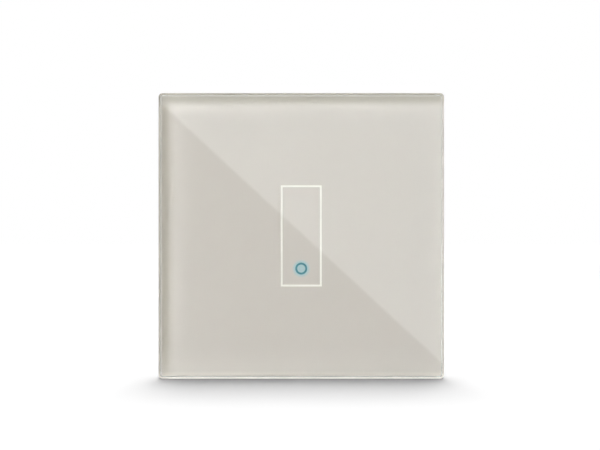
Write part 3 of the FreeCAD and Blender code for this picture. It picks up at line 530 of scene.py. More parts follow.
def turn(build: bmesh.types.BMesh, profile: list[Point], centre: Point, steps: int = 32) -> list[list[Any]]:
    """Add a surface turned about an axis along y; a profile that keeps off the axis closes on itself.

    Args:
        build: the bmesh that takes it.
        profile: radius and y pairs, in metres.
        centre: the axis in x and z.
        steps: facets round the axis.

    Returns:
        The faces of each band of the profile.
    """
    rings = []
    for radius, y in profile:
        spots = ring_of(radius, centre, steps) if radius else [centre]
        rings.append([build.verts.new((x, y, z)) for x, z in spots])
    if profile[0][0]:
        rings.append(rings[0])
    bands = []
    for near, far in zip(rings, rings[1:]):
        band = []
        for step in range(steps):
            after = step + 1
            corners = (near[step % len(near)], near[after % len(near)], far[after % len(far)], far[step % len(far)])
            band.append(build.faces.new(list(dict.fromkeys(corners))))
        bands.append(band)
    return bands


def tube(build: bmesh.types.BMesh, path: list[Vector], radius: float, sides: int = 10) -> None:
    """Add a round wire along a path, closed at both ends.

    Args:
        build: the bmesh that takes it.
        path: the wire's middle, in metres.
        radius: half the wire's thickness, in metres.
        sides: facets round the wire.
    """
    across = (path[1] - path[0]).orthogonal().normalized()
    rings = []
    for step, spot in enumerate(path):
        along = (path[min(step + 1, len(path) - 1)] - path[max(step - 1, 0)]).normalized()
        across = (across - along * across.dot(along)).normalized()
        other = along.cross(across)
        rings.append([build.verts.new(spot + (across * u + other * v)) for u, v in ring_of(radius, (0, 0), sides)])
    for near, far in zip(rings, rings[1:]):
        for side in range(sides):
            build.faces.new((near[side], near[side - 1], far[side - 1], far[side]))
    for end in (rings[0], rings[-1]):
        build.faces.new(end)


# Finishes, by the record's slot. Colours are what the photo or such a product shows.
FINISHES: dict[str, Any] = {
    # Toughened soda-lime glass, float-made and polished: clear, and mirrors the room sharply.
    "clear_glass": ClearFinish("toughened_glass", "#FBFDFC", 1.52, 0.0),
    # Injection-moulded polycarbonate with a fine spark-eroded skin: soft, even highlights on a warm grey.
    "frame_plastic": Finish("moulded_polycarbonate_frame", "#CFCBC3", 0.42, ior=1.58),
    # The same moulding, less warm and a little duller: the plain off-white of a case that nobody sees.
    "case_plastic": Finish("moulded_polycarbonate_case", "#E4E3DE", 0.48, ior=1.58),
    # Closed-cell foam tape, slit: dull black with open pores on its cut edge.
    "foam_tape": Finish("foam_tape", "#1B1B1C", 0.9, grain=Grain.FOAM, grain_mm=0.25, contrast=0.3,
                        relief_mm=0.05),
    # Zinc-plated rolled steel, pressed: cool grey with small dull spangles.
    "zinc_steel": Finish("zinc_plated_steel", "#B9BCBB", 0.38, 1.0, grain=Grain.SPANGLE, grain_mm=1.6,
                         contrast=0.07, relief_mm=0.004),
    # Hard-rolled spring steel: smooth and slightly darker, with rolling lines that draw the highlight out.
    "spring_steel": Finish("spring_steel", "#A3A4A3", 0.3, 1.0, grain=Grain.BRUSHED, grain_mm=0.12,
                           relief_mm=0.003, across=Across.Y),
    # Cold-headed screws in bright zinc: a hard, faintly yellow glint.
    "screw_steel": Finish("zinc_plated_screws", "#BDBDB6", 0.32, 1.0, grain=Grain.BRUSHED, grain_mm=0.1,
                          relief_mm=0.003, across=Across.Y),
    # Drawn wire under nickel: the brightest metal in the case.
    "plated_wire": Finish("nickel_plated_wire", "#C6C4BC", 0.22, 1.0, grain=Grain.BRUSHED, grain_mm=0.08,
                          relief_mm=0.002),
    # Hot-tinned sheet, folded to a can: bright, with broad soft patches.
    "tinned_steel": Finish("tinned_sheet", "#C9CAC6", 0.34, 1.0, grain=Grain.SPANGLE, grain_mm=2.4,
                           contrast=0.04, relief_mm=0.003),
    # Tinned brass, pressed: warm yellow where the tin is thin.
    "brass": Finish("tinned_brass", "#C8B27A", 0.3, 1.0, grain=Grain.BRUSHED, grain_mm=0.15, relief_mm=0.004),
    # Annealed soft iron with a thin plating: the greyest metal, close spangles.
    "soft_iron": Finish("plated_soft_iron", "#9C9D9B", 0.4, 1.0, grain=Grain.SPANGLE, grain_mm=0.9,
                        relief_mm=0.004),
    # Glass-epoxy board under green solder mask: glossy, and the weave shows faintly through.
    "board_green": Finish("green_solder_mask", "#1F5A34", 0.32, grain=Grain.LAMINATE, grain_mm=0.9,
                          contrast=0.12, relief_mm=0.01, coat=0.3),
    # The radio module's own small board, under a dark blue mask.
    "board_dark": Finish("blue_solder_mask", "#14233F", 0.3, grain=Grain.LAMINATE, grain_mm=0.9,
                         contrast=0.12, relief_mm=0.01, coat=0.3),
    # Cast lamp resin: milky and glossy.
    "led_body": Finish("lamp_resin", "#E9E5C8", 0.2, grain_mm=0.2),
    # Moulded epoxy packages: black, matt, gritty with filler.
    "chip_black": Finish("moulded_epoxy", "#1E1E1F", 0.55, grain_mm=0.15, contrast=0.15),
    # Glass-filled nylon headers: black and duller still, with a coarser grit.
    "header_black": Finish("glass_filled_nylon", "#1A1A1B", 0.6, grain_mm=0.2, contrast=0.15),
    # Moulded relay cover: near-black with a soft sheen.
    "relay_plastic": Finish("relay_thermoplastic", "#23252A", 0.4, grain_mm=0.25, contrast=0.1),
    # Flame-proof nylon, moulded: the flat leaf green of terminal blocks.
    "block_plastic": Finish("flame_proof_nylon", "#3C7A4E", 0.5, grain_mm=0.3, contrast=0.08),
    # Enamelled copper, wound: red-brown turns with a lacquer gloss. The real turns are 0.07 mm apart.
    "copper_wire": Finish("enamelled_copper", "#A4562C", 0.3, grain=Grain.WOUND, grain_mm=0.3,
                          contrast=0.35, relief_mm=0.08, across=Across.X, coat=0.4),
    # Polyester tape, wound over the coil: glossy yellow with faint lap lines.
    "winding_tape": Finish("polyester_tape", "#D9B23C", 0.28, grain=Grain.WOUND, grain_mm=3.0,
                           contrast=0.08, relief_mm=0.02, across=Across.Z, coat=0.3),
    # Ferrite, pressed and fired: dark grey, dry, finely mottled.
    "ferrite": Finish("ferrite", "#2C2C2E", 0.5, grain=Grain.FIRED, grain_mm=0.4, contrast=0.2,
                      relief_mm=0.02),
    # Shrunk plastic sleeve: blue-black and shiny, a little uneven where it shrank.
    "can_sleeve": Finish("shrunk_sleeve", "#20222B", 0.3, grain_mm=1.2, contrast=0.08),
    # Moulded capacitor box: opaque yellow with an even satin skin.
    "film_case": Finish("capacitor_case", "#C6A93A", 0.45, grain_mm=0.3),
    # Epoxy, dipped: blue and glossy with slow swells.
    "disc_epoxy": Finish("dipped_epoxy", "#2A4E8F", 0.35, grain_mm=1.5, contrast=0.1, relief_mm=0.03),
    # Moulded fuse case: plain brown satin.
    "fuse_case": Finish("fuse_thermoplastic", "#5A3A2A", 0.42, grain_mm=0.3),
    # Clear acrylic, moulded and left glossy: a little less sharp than glass.
    "clear_acrylic": ClearFinish("clear_acrylic", "#F6FAFB", 1.49, 0.05),
}


@dataclass
class GlassPanel:
    """The toughened sheet: polished faces and sides, with a finely ground bevel round both faces."""

    corner_mm: float = 1.2
    least_corner_mm: float = 0.35
    bevel_mm: float = 0.6
    eased_mm: float = 0.07
    corner_steps: int = 8
    ground_levels: tuple[int, int] = (1, 5)
    # Ground with fine grit: the bevel blurs what it bends, and reads as a pale line round the sheet.
    ground: ClearFinish = ClearFinish("ground_bevel", "#FBFDFC", 1.52, 0.2)

    def outline(self, half: float, inset_mm: float) -> list[Point]:
        """The rounded square at some inset.

        Args:
            half: half the side of the sheet, in metres.
            inset_mm: how far in the outline lies.

        Returns:
            Its points in x and z, in metres.
        """
        radius = max(self.corner_mm - inset_mm, self.least_corner_mm) * MM
        middle = half - inset_mm * MM - radius
        points = []
        for corner, (way_x, way_z) in enumerate(((1, 1), (-1, 1), (-1, -1), (1, -1))):
            for step in range(self.corner_steps + 1):
                angle = math.pi / 2 * (corner + step / self.corner_steps)
                points.append((way_x * middle + radius * math.cos(angle), way_z * middle + radius * math.sin(angle)))
        return points

    def build(self) -> None:
        """Build the sheet in place of its plain node."""
        low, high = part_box("glass_panel")
        ease, bevel, thick = self.eased_mm, self.bevel_mm, (high.y - low.y) / MM
        past = 0.7 * ease  # an edge is eased at 45 degrees
        front = [(bevel + ease, 0.0), (bevel - past, past), (past, bevel - past), (0.0, bevel + ease)]
        levels = front + [(inset, thick - depth) for inset, depth in reversed(front)]
        build = bmesh.new()
        rings = [[build.verts.new((x, low.y + depth * MM, z)) for x, z in self.outline(high.x, inset)]
                 for inset, depth in levels]
        for level, (near, far) in enumerate(zip(rings, rings[1:])):
            for step in range(len(near)):
                face = build.faces.new((near[step], near[step - 1], far[step - 1], far[step]))
                face.material_index = int(level in self.ground_levels)
        build.faces.new(rings[0])
        build.faces.new(rings[-1])
        # Smooth shading over the eased edges would bend what the flat face mirrors.
        piece = mesh_piece("glass_sheet", build, "cover", FINISHES["clear_glass"].build(), self.ground.build(),
                           sharp_degrees=5.0)
        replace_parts(piece, "glass_panel")
        log.info("glass sheet with its ground bevel")


@dataclass
class PrintedFace:
    """What is printed behind the glass: the coat, the white outline and the lit ring.

    The prints reach a hair into the glass, which stands for their optical contact with it.
    """

    contact_mm: float = 0.012
    line_mm: float = 0.6
    steps: int = 96
    # Screen-printed ceramic ink seen through the glass: a flat warm grey with the faintest cloud, plus painted shade,
    # light and glow.
    coat: CoatFinish = CoatFinish("greige_screen_ink_painted_light_shade", "#CFC9C2", 0.5, grain=Grain.PRINTED, grain_mm=0.5,
                                  contrast=0.012, relief_mm=0.001)
    # The same print in white: crisp against the grey.
    line: Finish = Finish("white_screen_ink", "#FBF9F2", 0.5, grain=Grain.PRINTED, grain_mm=0.5, contrast=0.01,
                          relief_mm=0.001)
    # A window left clear in the coat, with the lamp behind: an even blue-green, slightly brighter in places.
    window: LitFinish = LitFinish("lit_window", "#417E89", 0.2)

    def build(self) -> None:
        """Build the three prints in place of their plain nodes."""
        coat_low, coat_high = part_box("ink_coat")
        _, outline_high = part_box("outline_print")
        ring_low, ring_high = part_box("ring_lens")
        front, back = coat_low.y - self.contact_mm * MM, coat_high.y
        half = coat_high.x
        out_x, out_z = outline_high.x, outline_high.z
        in_x, in_z = out_x - self.line_mm * MM, out_z - self.line_mm * MM
        centre = ((ring_low.x + ring_high.x) / 2, (ring_low.z + ring_high.z) / 2)
        outer = (ring_high.x - ring_low.x) / 2
        inner = outer - self.line_mm * MM

        coat = replace(self.coat, painted_glow_centre=(centre[0], front, centre[1])).build()
        field_mesh = bmesh.new()
        prism(field_mesh, box_ring(half, half), box_ring(out_x, out_z), front, back)
        circle = ring_of(outer, centre, self.steps)
        prism(field_mesh, self.around(circle, centre, in_x, in_z), circle, front, back)
        prism(field_mesh, ring_of(inner, centre, self.steps), None, front, back)
        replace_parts(mesh_piece("printed_coat", field_mesh, "cover", coat), "ink_coat")

        line_mesh = bmesh.new()
        prism(line_mesh, box_ring(out_x, out_z), box_ring(in_x, in_z), front, back)
        outline = mesh_piece("white_outline", line_mesh, "cover", self.line.build())
        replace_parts(outline, "outline_print")

        ring_mesh = bmesh.new()
        prism(ring_mesh, circle, ring_of(inner, centre, self.steps), front, back)
        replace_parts(mesh_piece("lit_ring", ring_mesh, "cover", self.window.build()), "ring_lens")
        log.info("printed face: coat, outline and ring")

    def around(self, circle: list[Point], centre: Point, half_x: float, half_z: float) -> list[Point]:
        """Carry each point of a circle straight out to the rectangle round it.

        Args:
            circle: the circle's points.
            centre: its centre.
            half_x: the rectangle's half width, about the origin.
            half_z: the rectangle's half height, about the origin.

        Returns:
            As many points on the rectangle, with its corners among them.
        """
        points = []
        for x, z in circle:
            ways = ((x - centre[0], half_x, centre[0]), (z - centre[1], half_z, centre[1]))
            reach = min((math.copysign(half, way) - middle) / way for way, half, middle in ways if abs(way) > NO_WAY)
            points.append((centre[0] + ways[0][0] * reach, centre[1] + ways[1][0] * reach))
        for corner in box_ring(half_x, half_z):
            nearest = min(range(len(points)), key=lambda step: math.dist(points[step], corner))
            points[nearest] = corner
        return points


@dataclass
class EasedPieces:
    """Moulded, pressed and sintered pieces whose edges their making leaves slightly round.

    Attributes:
        edges_mm: each node, its slot and the radius of its edges.
        sharp_degrees: edges that turn by more than this are rounded.
        rows: faces across each rounding.
        weld_mm: corners nearer than this are one.
        flat_degrees: faces that differ by less than this are one.
    """

    edges_mm: tuple[tuple[str, str, float], ...] = (
        ("rear_housing", "case_plastic", 0.12), ("front_housing", "case_plastic", 0.12),
        ("cover_frame", "frame_plastic", 0.2), ("mount_plate", "zinc_steel", 0.12),
        ("terminal_block", "block_plastic", 0.2), ("relay_case", "relay_plastic", 0.25),
        ("film_capacitor", "film_case", 0.3), ("transformer_core", "ferrite", 0.2),
        ("relay_yoke", "soft_iron", 0.12), ("shield_can", "tinned_steel", 0.15),
        ("fuse", "fuse_case", 0.4), ("varistor", "disc_epoxy", 0.6))
    sharp_degrees: float = 35.0
    rows: int = 2
    weld_mm: float = 0.001
    flat_degrees: float = 0.5

    def build(self) -> None:
        """Ease a copy of each piece and let it stand for its node."""
        bodies = frame["record"]["behaviour"]["bodies"]
        for node, slot, radius_mm in self.edges_mm:
            build = bmesh.new()
            build.from_mesh(frame["nodes"][node].data)
            bmesh.ops.remove_doubles(build, verts=build.verts, dist=self.weld_mm * MM)
            bmesh.ops.dissolve_limit(build, angle_limit=math.radians(self.flat_degrees), verts=build.verts,
                                     edges=build.edges)
            body = next(name for name, nodes in bodies.items() if node in nodes)
            piece = mesh_piece(node + "_eased", build, body, FINISHES[slot].build())
            rounding = piece.modifiers.new("eased_edges", "BEVEL")
            rounding.width = radius_mm * MM
            rounding.segments = self.rows
            rounding.limit_method = "ANGLE"
            rounding.angle_limit = math.radians(self.sharp_degrees)
            rounding.harden_normals = True
            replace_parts(piece, node)
            log.info("%s: edges eased by %.2f mm", node, radius_mm)


@dataclass
class TouchSpring:
    """The touch electrode: a compression spring of round wire whose end turns lie closed."""

    wire_mm: float = 0.5
    turns: int = 6
    steps: int = 28

    def build(self) -> None:
        """Wind the spring in place of its plain node."""
        low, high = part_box("touch_spring")
        wire = self.wire_mm * MM
        radius = (high.x - low.x - wire) / 2
        x, z = (low.x + high.x) / 2, (low.z + high.z) / 2
        front, back = low.y + wire / 2, high.y - wire / 2
        open_pitch = (back - front - 2 * wire) / (self.turns - 2)
        path = []
        for step in range(self.turns * self.steps + 1):
            turned = step / self.steps
            rise = min(turned, 1.0) * wire + max(min(turned - 1, self.turns - 2), 0.0) * open_pitch
            rise += max(turned - self.turns + 1, 0.0) * wire
            angle = 2 * math.pi * turned
            path.append(Vector((x + radius * math.cos(angle), front + rise, z + radius * math.sin(angle))))
        build = bmesh.new()
        tube(build, path, wire / 2)
        piece = mesh_piece("wound_touch_spring", build, "wall_unit", FINISHES["plated_wire"].build())
        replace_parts(piece, "touch_spring")
        log.info("touch spring of round wire")


@dataclass
class RelayWinding:
    """The relay's winding in close turns, drawn coarser than the real 0.07 mm wire so that they show."""

    wire_mm: float = 0.34
    barrel_mm: float = 1.7
    across_turn: int = 5
    steps: int = 48
    # Enamelled copper: a red-brown lacquer gloss along each turn.
    wire: Finish = Finish("enamelled_copper_turns", "#A4562C", 0.28, grain_mm=0.8, contrast=0.08, coat=0.5)

    def build(self) -> None:
        """Turn the winding about y, then lay it along x in place of its plain node."""
        low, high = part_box("relay_coil")
        middle = (low + high) / 2
        radius, long = (high.z - low.z) / 2, high.x - low.x
        turns = round(long / (self.wire_mm * MM))
        pitch = long / turns
        profile = [(self.barrel_mm * MM, -long / 2)]
        for loop in range(turns):
            for part in range(self.across_turn):
                angle = math.pi * (part + 0.5) / self.across_turn
                profile.append((radius - pitch / 2 * (1 - math.sin(angle)),
                                pitch * (loop + (1 - math.cos(angle)) / 2) - long / 2))
        profile.append((self.barrel_mm * MM, long / 2))
        build = bmesh.new()
        turn(build, profile, (0.0, 0.0), self.steps)
        bmesh.ops.rotate(build, cent=(0, 0, 0), matrix=Matrix.Rotation(-math.pi / 2, 3, "Z"), verts=build.verts)
        bmesh.ops.translate(build, vec=middle, verts=build.verts)
        piece = mesh_piece("relay_winding", build, "wall_unit", self.wire.build())
        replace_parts(piece, "relay_coil")
        log.info("relay winding of %d turns", turns)


@dataclass
class SmoothingCans:
    """Two electrolytic capacitors: a crimped aluminium can in a shrunk sleeve with a pale stripe."""

    roll_mm: float = 0.6
    roll_turns: tuple[float, ...] = (0.5, 1.0, 1.5)
    rim_mm: float = 0.9
    rim_sink_mm: float = 0.2
    crimp_mm: float = 0.38
    crimp_rise_mm: float = 1.9
    crimp_stretch: float = 1.4
    crimp_turns: tuple[float, ...] = (-3.14, -2.1, -1.0, 0.0, 1.0, 2.1, 3.14)
    stripe_degrees: float = 26.0
    steps: int = 48
    # The sleeve's printed stripe: pale grey under the same shine.
    stripe: Finish = Finish("sleeve_stripe", "#8E9098", 0.3, grain_mm=1.2, contrast=0.05)
    # Deep-drawn aluminium: the bare top is bright and softly streaked.
    metal: Finish = Finish("drawn_aluminium", "#CFD1D2", 0.35, 1.0, grain=Grain.BRUSHED, grain_mm=0.12,
                           relief_mm=0.003)

    def profile(self, radius: float, base: float, top: float) -> list[Point]:
        """One can from the middle of its base to the middle of its top.

        Args:
            radius: the can's radius, in metres.
            base: the y of its base.
            top: the y of its top.

        Returns:
            Radius and y pairs.
        """
        roll, rim, crimp = self.roll_mm * MM, self.rim_mm * MM, self.crimp_mm * MM
        middle, sunk = base + self.crimp_rise_mm * MM, top - self.rim_sink_mm * MM
        rows = [(0.0, base + roll / 2), (radius - roll, base + roll / 2), (radius - roll, base)]
        rows += [(radius - roll * (1 - math.sin(angle)), base + roll * (1 - math.cos(angle)))
                 for angle in self.roll_turns]
        rows += [(radius - crimp * (1 + math.cos(angle)) / 2, middle + self.crimp_stretch * crimp * angle / math.pi)
                 for angle in self.crimp_turns]
        rows += [(radius - roll * (1 - math.cos(angle)), top - roll * (1 - math.sin(angle)))
                 for angle in (0.0, *self.roll_turns[:-1])]
        return rows + [(radius - roll, top), (radius - rim, top), (radius - rim, sunk), (0.0, sunk)]

    def build(self) -> None:
        """Build both cans in place of their plain node."""
        low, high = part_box("smoothing_capacitors")
        radius = (high.z - low.z) / 2
        z = (low.z + high.z) / 2
        build = bmesh.new()
        for x in (low.x + radius, high.x - radius):
            bands = turn(build, self.profile(radius, low.y, high.y), (x, z), self.steps)
            for face in bands[-1]:
                face.material_index = 2
            for band in bands[2:-3]:
                for face in band:
                    spot = face.calc_center_median()
                    if abs(math.degrees(math.atan2(spot.x - x, spot.z - z))) < self.stripe_degrees:
                        face.material_index = 1
        piece = mesh_piece("sleeved_cans", build, "wall_unit", FINISHES["can_sleeve"].build(), self.stripe.build(),
                           self.metal.build())
        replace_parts(piece, "smoothing_capacitors")
        log.info("smoothing capacitors with sleeves")


@dataclass
class CaseScrews:
    """Two pan-head screws with a cross recess, cutting their own thread in the front housing.

    Attributes:
        shank_mm: the thread's outer radius.
        root_mm: its inner radius.
        pitch_mm: from one crest to the next.
        crest_mm: where in a pitch the crest and the next root lie.
        point_mm: the height of the blunt point and of the first root above the tip.
        head_mm: the head's radius.
        head_thick_mm: its height.
        side_mm: pairs of how far in and how high above the seat the head's side runs.
        crown_mm: pairs of how far in and how far below the top its crown runs.
        slot_mm: half the width of the recess's arms.
        cross_mm: how far the arms reach.
        recess_mm: the recess's depth.
        taper: the share of the arms' reach that is left at its floor.
        steps: facets round the screw.
    """

    shank_mm: float = 1.3
    root_mm: float = 1.0
    pitch_mm: float = 0.9
    crest_mm: Point = (0.27, 0.405)
    point_mm: Point = (0.5, 1.2)
    head_mm: float = 2.2
    head_thick_mm: float = 1.6
    side_mm: tuple[Point, ...] = ((0.0, 0.0), (0.0, 0.8), (0.12, 1.2))
    crown_mm: tuple[Point, ...] = ((0.45, 0.08), (0.75, 0.0))
    slot_mm: float = 0.32
    cross_mm: float = 1.15
    recess_mm: float = 0.9
    taper: float = 0.55
    steps: int = 40

    def cross(self, centre: Point, scale: float) -> list[Point]:
        """The outline of the recess.

        Args:
            centre: the screw's axis in x and z.
            scale: 1 at the mouth, less at the bottom.

        Returns:
            Twelve points in x and z, counterclockwise.
        """
        arm, half = self.cross_mm * MM * scale, self.slot_mm * MM
        points = []
        for quarter in range(4):
            turned = Matrix.Rotation(math.pi / 2 * quarter, 2)
            for spot in (Vector((arm, -half)), Vector((arm, half)), Vector((half, half))):
                points.append(tuple(Vector(centre) + turned @ spot))
        return points

    def screw(self, build: bmesh.types.BMesh, centre: Point, tip: float, crown: float) -> None:
        """Add one screw.

        Args:
            build: the bmesh that takes it.
            centre: its axis in x and z.
            tip: the y of its tip.
            crown: the y of the top of its head.
        """
        shank, root, head = self.shank_mm * MM, self.root_mm * MM, self.head_mm * MM
        seat = crown - self.head_thick_mm * MM
        point, first = (tip + height * MM for height in self.point_mm)
        crest, valley = (height * MM for height in self.crest_mm)
        profile = [(0.0, tip), (root / 2, point)]
        y = first
        while y < seat - self.pitch_mm * MM:
            profile += [(root, y), (shank, y + crest), (root, y + valley)]
            y += self.pitch_mm * MM
        profile += [(root, seat), *((head - inset * MM, seat + above * MM) for inset, above in self.side_mm)]
        profile += [(head - inset * MM, crown - below * MM) for inset, below in self.crown_mm]
        before = [build.verts.new((centre[0], tip, centre[1]))]
        for radius, level in profile[1:]:
            after = [build.verts.new((x, level, z)) for x, z in ring_of(radius, centre, self.steps)]
            for step in range(self.steps):
                corners = (before[step % len(before)], before[(step + 1) % self.steps % len(before)],
                           after[(step + 1) % self.steps], after[step])
                build.faces.new(list(dict.fromkeys(corners)))
            before = after
        mouth = [build.verts.new((x, crown, z)) for x, z in self.cross(centre, 1.0)]
        floor = [build.verts.new((x, crown - self.recess_mm * MM, z)) for x, z in self.cross(centre, self.taper)]
        for step in range(len(mouth)):
            build.faces.new((mouth[step], mouth[step - 1], floor[step - 1], floor[step]))
        build.faces.new(floor)
        edges = [build.edges.get((loop[step], loop[step - 1])) or build.edges.new((loop[step], loop[step - 1]))
                 for loop in (before, mouth) for step in range(len(loop))]
        bmesh.ops.triangle_fill(build, use_beauty=True, use_dissolve=False, edges=edges)

    def build(self) -> None:
        """Build both screws in place of their plain node."""
        low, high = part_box("case_screws")
        reach = high.x - self.head_mm * MM
        build = bmesh.new()
        for way in (1, -1):
            self.screw(build, (way * reach, way * reach), low.y, high.y)
        piece = mesh_piece("cross_recess_screws", build, "wall_unit", FINISHES["screw_steel"].build())
        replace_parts(piece, "case_screws")
        log.info("case screws with cross recesses")


@dataclass
class BoardDetails:
    """What the boards carry beside their larger parts: chip resistors, solder joints, copper tracks.

    Attributes:
        chip_mm: a chip's length, width and height.
        cap_mm: the length of its end caps.
        joint_mm: a solder joint's radius.
        joint_rise_mm: how far it stands off the board.
        joint_rows: the shares of that radius and rise, from its foot to its top.
        foil_mm: how far copper stands off the board.
        track_mm: a track's width.
        land_share: how much wider a track's ends are, and how much higher its corners stand.
        pad_mm: the spring pad's inner and outer radius.
        joint_steps, land_steps, pad_steps: facets round each.
        touch_chips, power_chips, joints: their middles in x and z, in mm.
        power_tracks, touch_tracks: each track's corners in x and z, in mm.
    """

    chip_mm: tuple[float, float, float] = (1.6, 0.8, 0.5)
    cap_mm: float = 0.3
    joint_mm: float = 0.85
    joint_rise_mm: float = 0.75
    joint_rows: tuple[Point, ...] = ((1.0, 0.0), (0.72, 0.22), (0.45, 0.6), (0.34, 0.92), (0.2, 1.0), (0.0, 1.0))
    joint_steps: int = 16
    foil_mm: float = 0.04
    track_mm: float = 0.5
    land_share: Point = (2.0, 1.1)
    land_steps: int = 12
    pad_mm: Point = (2.7, 4.3)
    pad_steps: int = 48
    # Glass-coated ceramic chips: small, black, slightly glossy.
    chip_body: Finish = Finish("thick_film_chip", "#232326", 0.45, grain_mm=0.2, contrast=0.1, edge_mm=0.05)
    # Their plated ends: tiny bright glints.
    chip_caps: Finish = Finish("tinned_end_caps", "#D0D1CF", 0.25, 1.0, grain=Grain.SPANGLE, grain_mm=0.3,
                               edge_mm=0.05)
    # Solder, wave-soldered: bright hollow cones with a slight mottle.
    solder_metal: Finish = Finish("solder_joints", "#C4C6C8", 0.22, 1.0, grain=Grain.SPANGLE, grain_mm=0.5,
                                  contrast=0.04)
    # Copper under the mask: the same green, lighter, on a faint step.
    masked: Finish = Finish("masked_copper", "#2C7445", 0.28, grain=Grain.LAMINATE, grain_mm=0.9, contrast=0.08,
                            coat=0.4, edge_mm=0.03)
    # Gold flashed on copper: a warm even shine.
    gold: Finish = Finish("gold_plated_pad", "#D8B45A", 0.25, 1.0, grain=Grain.BRUSHED, grain_mm=0.2,
                          relief_mm=0.002)
    touch_chips: tuple[Point, ...] = (
        (12.0, -9.0), (12.0, -11.5), (12.0, -14.0), (15.5, -9.0), (15.5, -11.5), (15.5, -14.0), (13.5, 6.0),
        (13.5, 8.5), (13.5, 11.0), (-14.0, 9.0), (-14.0, 11.5), (-5.5, -12.0), (-5.5, -9.8), (5.5, -12.0))
    power_chips: tuple[Point, ...] = (
        (1.5, 3.5), (1.5, 1.0), (1.5, -1.5), (13.5, 2.5), (13.5, 0.0), (13.5, -2.5), (6.5, 5.0), (9.5, 5.0),
        (6.5, -5.5), (9.5, -5.5))
    joints: tuple[Point, ...] = (
        (-12.4, 6.2), (-8.9, 6.2), (-3.6, 6.2), (-0.1, 6.2), (-5.0, 16.0), (5.0, 16.0), (14.5, 5.3), (14.5, 10.3),
        (18.0, -4.5), (18.0, 0.5), (3.5, -8.8), (3.5, -2.4), (12.3, -8.8), (12.3, -2.4), (3.4, 3.8), (3.4, 6.2),
        (-18.6, -9.6), (-18.6, -2.8), (-4.0, -9.6), (-4.0, -2.8))
    power_tracks: tuple[tuple[Point, ...], ...] = (
        ((-8.9, 6.2), (-6.2, 8.9), (-6.2, 11.5), (-5.0, 16.0)), ((-3.6, 6.2), (-3.6, 10.5), (5.0, 16.0)),
        ((-0.1, 6.2), (1.5, 3.5)), ((14.5, 5.3), (13.5, 2.5)), ((14.5, 10.3), (9.0, 14.0), (5.0, 16.0)),
        ((12.3, -2.4), (13.5, -2.5)), ((3.5, -2.4), (1.5, -1.5)), ((-4.0, -2.8), (-1.5, 0.0), (1.5, 1.0)),
        ((18.0, 0.5), (19.5, 4.0), (19.5, 12.0), (14.0, 17.5), (8.0, 19.0), (-5.0, 19.0), (-12.4, 12.0), (-12.4, 6.2)),
        ((-18.6, -2.8), (-20.0, 1.0), (-20.0, 8.0), (-16.0, 14.0)))
    touch_tracks: tuple[tuple[Point, ...], ...] = (
        ((12.0, -9.0), (10.5, -7.5), (10.5, 6.0), (13.5, 6.0)),
        ((15.5, -9.0), (17.5, -6.0), (17.5, 11.0), (13.5, 11.0)), ((5.5, -12.0), (9.0, -11.5), (12.0, -11.5)),
        ((-5.5, -12.0), (-11.0, -12.0), (-15.5, -7.0)), ((-14.0, 9.0), (-15.5, 7.0)),
        ((-14.0, 11.5), (-11.0, 15.0), (9.0, 15.0), (13.5, 11.0)))

    def chips(self, spots: tuple[Point, ...], face: float, way: int, name: str) -> None:
        """Solder chip resistors to a board.

        Args:
            spots: their middles in x and z, in mm.
            face: the y of the board's face.
            way: 1 where they stand towards the back, -1 towards the front.
            name: the piece's name.
        """
        long, wide, thick = (size * MM for size in self.chip_mm)
        build = bmesh.new()
        for x, z in spots:
            centre = (x * MM, z * MM)
            halves = (long / 2 - self.cap_mm * MM, wide / 2)
            prism(build, box_ring(*halves, centre), None, face, face + way * (thick - self.foil_mm * MM))
            for side in (1, -1):
                cap = (centre[0] + side * (long - self.cap_mm * MM) / 2, centre[1])
                start = len(build.faces)
                prism(build, box_ring(self.cap_mm * MM / 2, wide / 2, cap), None, face, face + way * thick)
                build.faces.ensure_lookup_table()
                for cap_face in build.faces[start:]:
                    cap_face.material_index = 1
        piece = mesh_piece(name, build, "wall_unit", self.chip_body.build(), self.chip_caps.build())
        log.info("%s: %d chips", name, len(spots))

    def solder(self, face: float) -> None:
        """Fillet the leads of the power board's parts.

        Args:
            face: the y of the board's soldered face.
        """
        radius, rise = self.joint_mm * MM, self.joint_rise_mm * MM
        build = bmesh.new()
        for x, z in self.joints:
            profile = [(0.0, face), *((radius * out, face - rise * up) for out, up in self.joint_rows)]
            turn(build, profile, (x * MM, z * MM), self.joint_steps)
        mesh_piece("solder_joints", build, "wall_unit", self.solder_metal.build())
        log.info("solder joints: %d", len(self.joints))

    def tracks(self, runs: tuple[tuple[Point, ...], ...], face: float, way: int, name: str) -> None:
        """Lay copper tracks under the solder mask.

        Args:
            runs: each track's corners in x and z, in mm.
            face: the y of the board's face.
            way: 1 where it faces the back, -1 where it faces the front.
            name: the piece's name.
        """
        half, rise = self.track_mm * MM / 2, way * self.foil_mm * MM
        wider, higher = self.land_share
        build = bmesh.new()
        for run in runs:
            spots = [Vector(spot) * MM for spot in run]
            for start, end in zip(spots, spots[1:]):
                aside = (end - start).normalized().orthogonal() * half
                outline = [tuple(spot) for spot in (start - aside, end - aside, end + aside, start + aside)]
                prism(build, outline, None, face, face + rise)
            for spot in spots:
                radius = half * (wider if spot in (spots[0], spots[-1]) else 1.0)
                prism(build, ring_of(radius, tuple(spot), self.land_steps), None, face, face + rise * higher)
        mesh_piece(name, build, "wall_unit", self.masked.build())
        log.info("%s: tracks laid", name)

    def pad(self, face: float) -> None:
        """Plate the ring on which the touch spring stands.

        Args:
            face: the y of the touch board's front.
        """
        low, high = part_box("touch_spring")
        centre = ((low.x + high.x) / 2, (low.z + high.z) / 2)
        build = bmesh.new()
        inner, outer = (ring_of(radius * MM, centre, self.pad_steps) for radius in self.pad_mm)
        prism(build, outer, inner, face - self.foil_mm * MM, face)
        mesh_piece("spring_pad", build, "wall_unit", self.gold.build())
        log.info("spring pad")

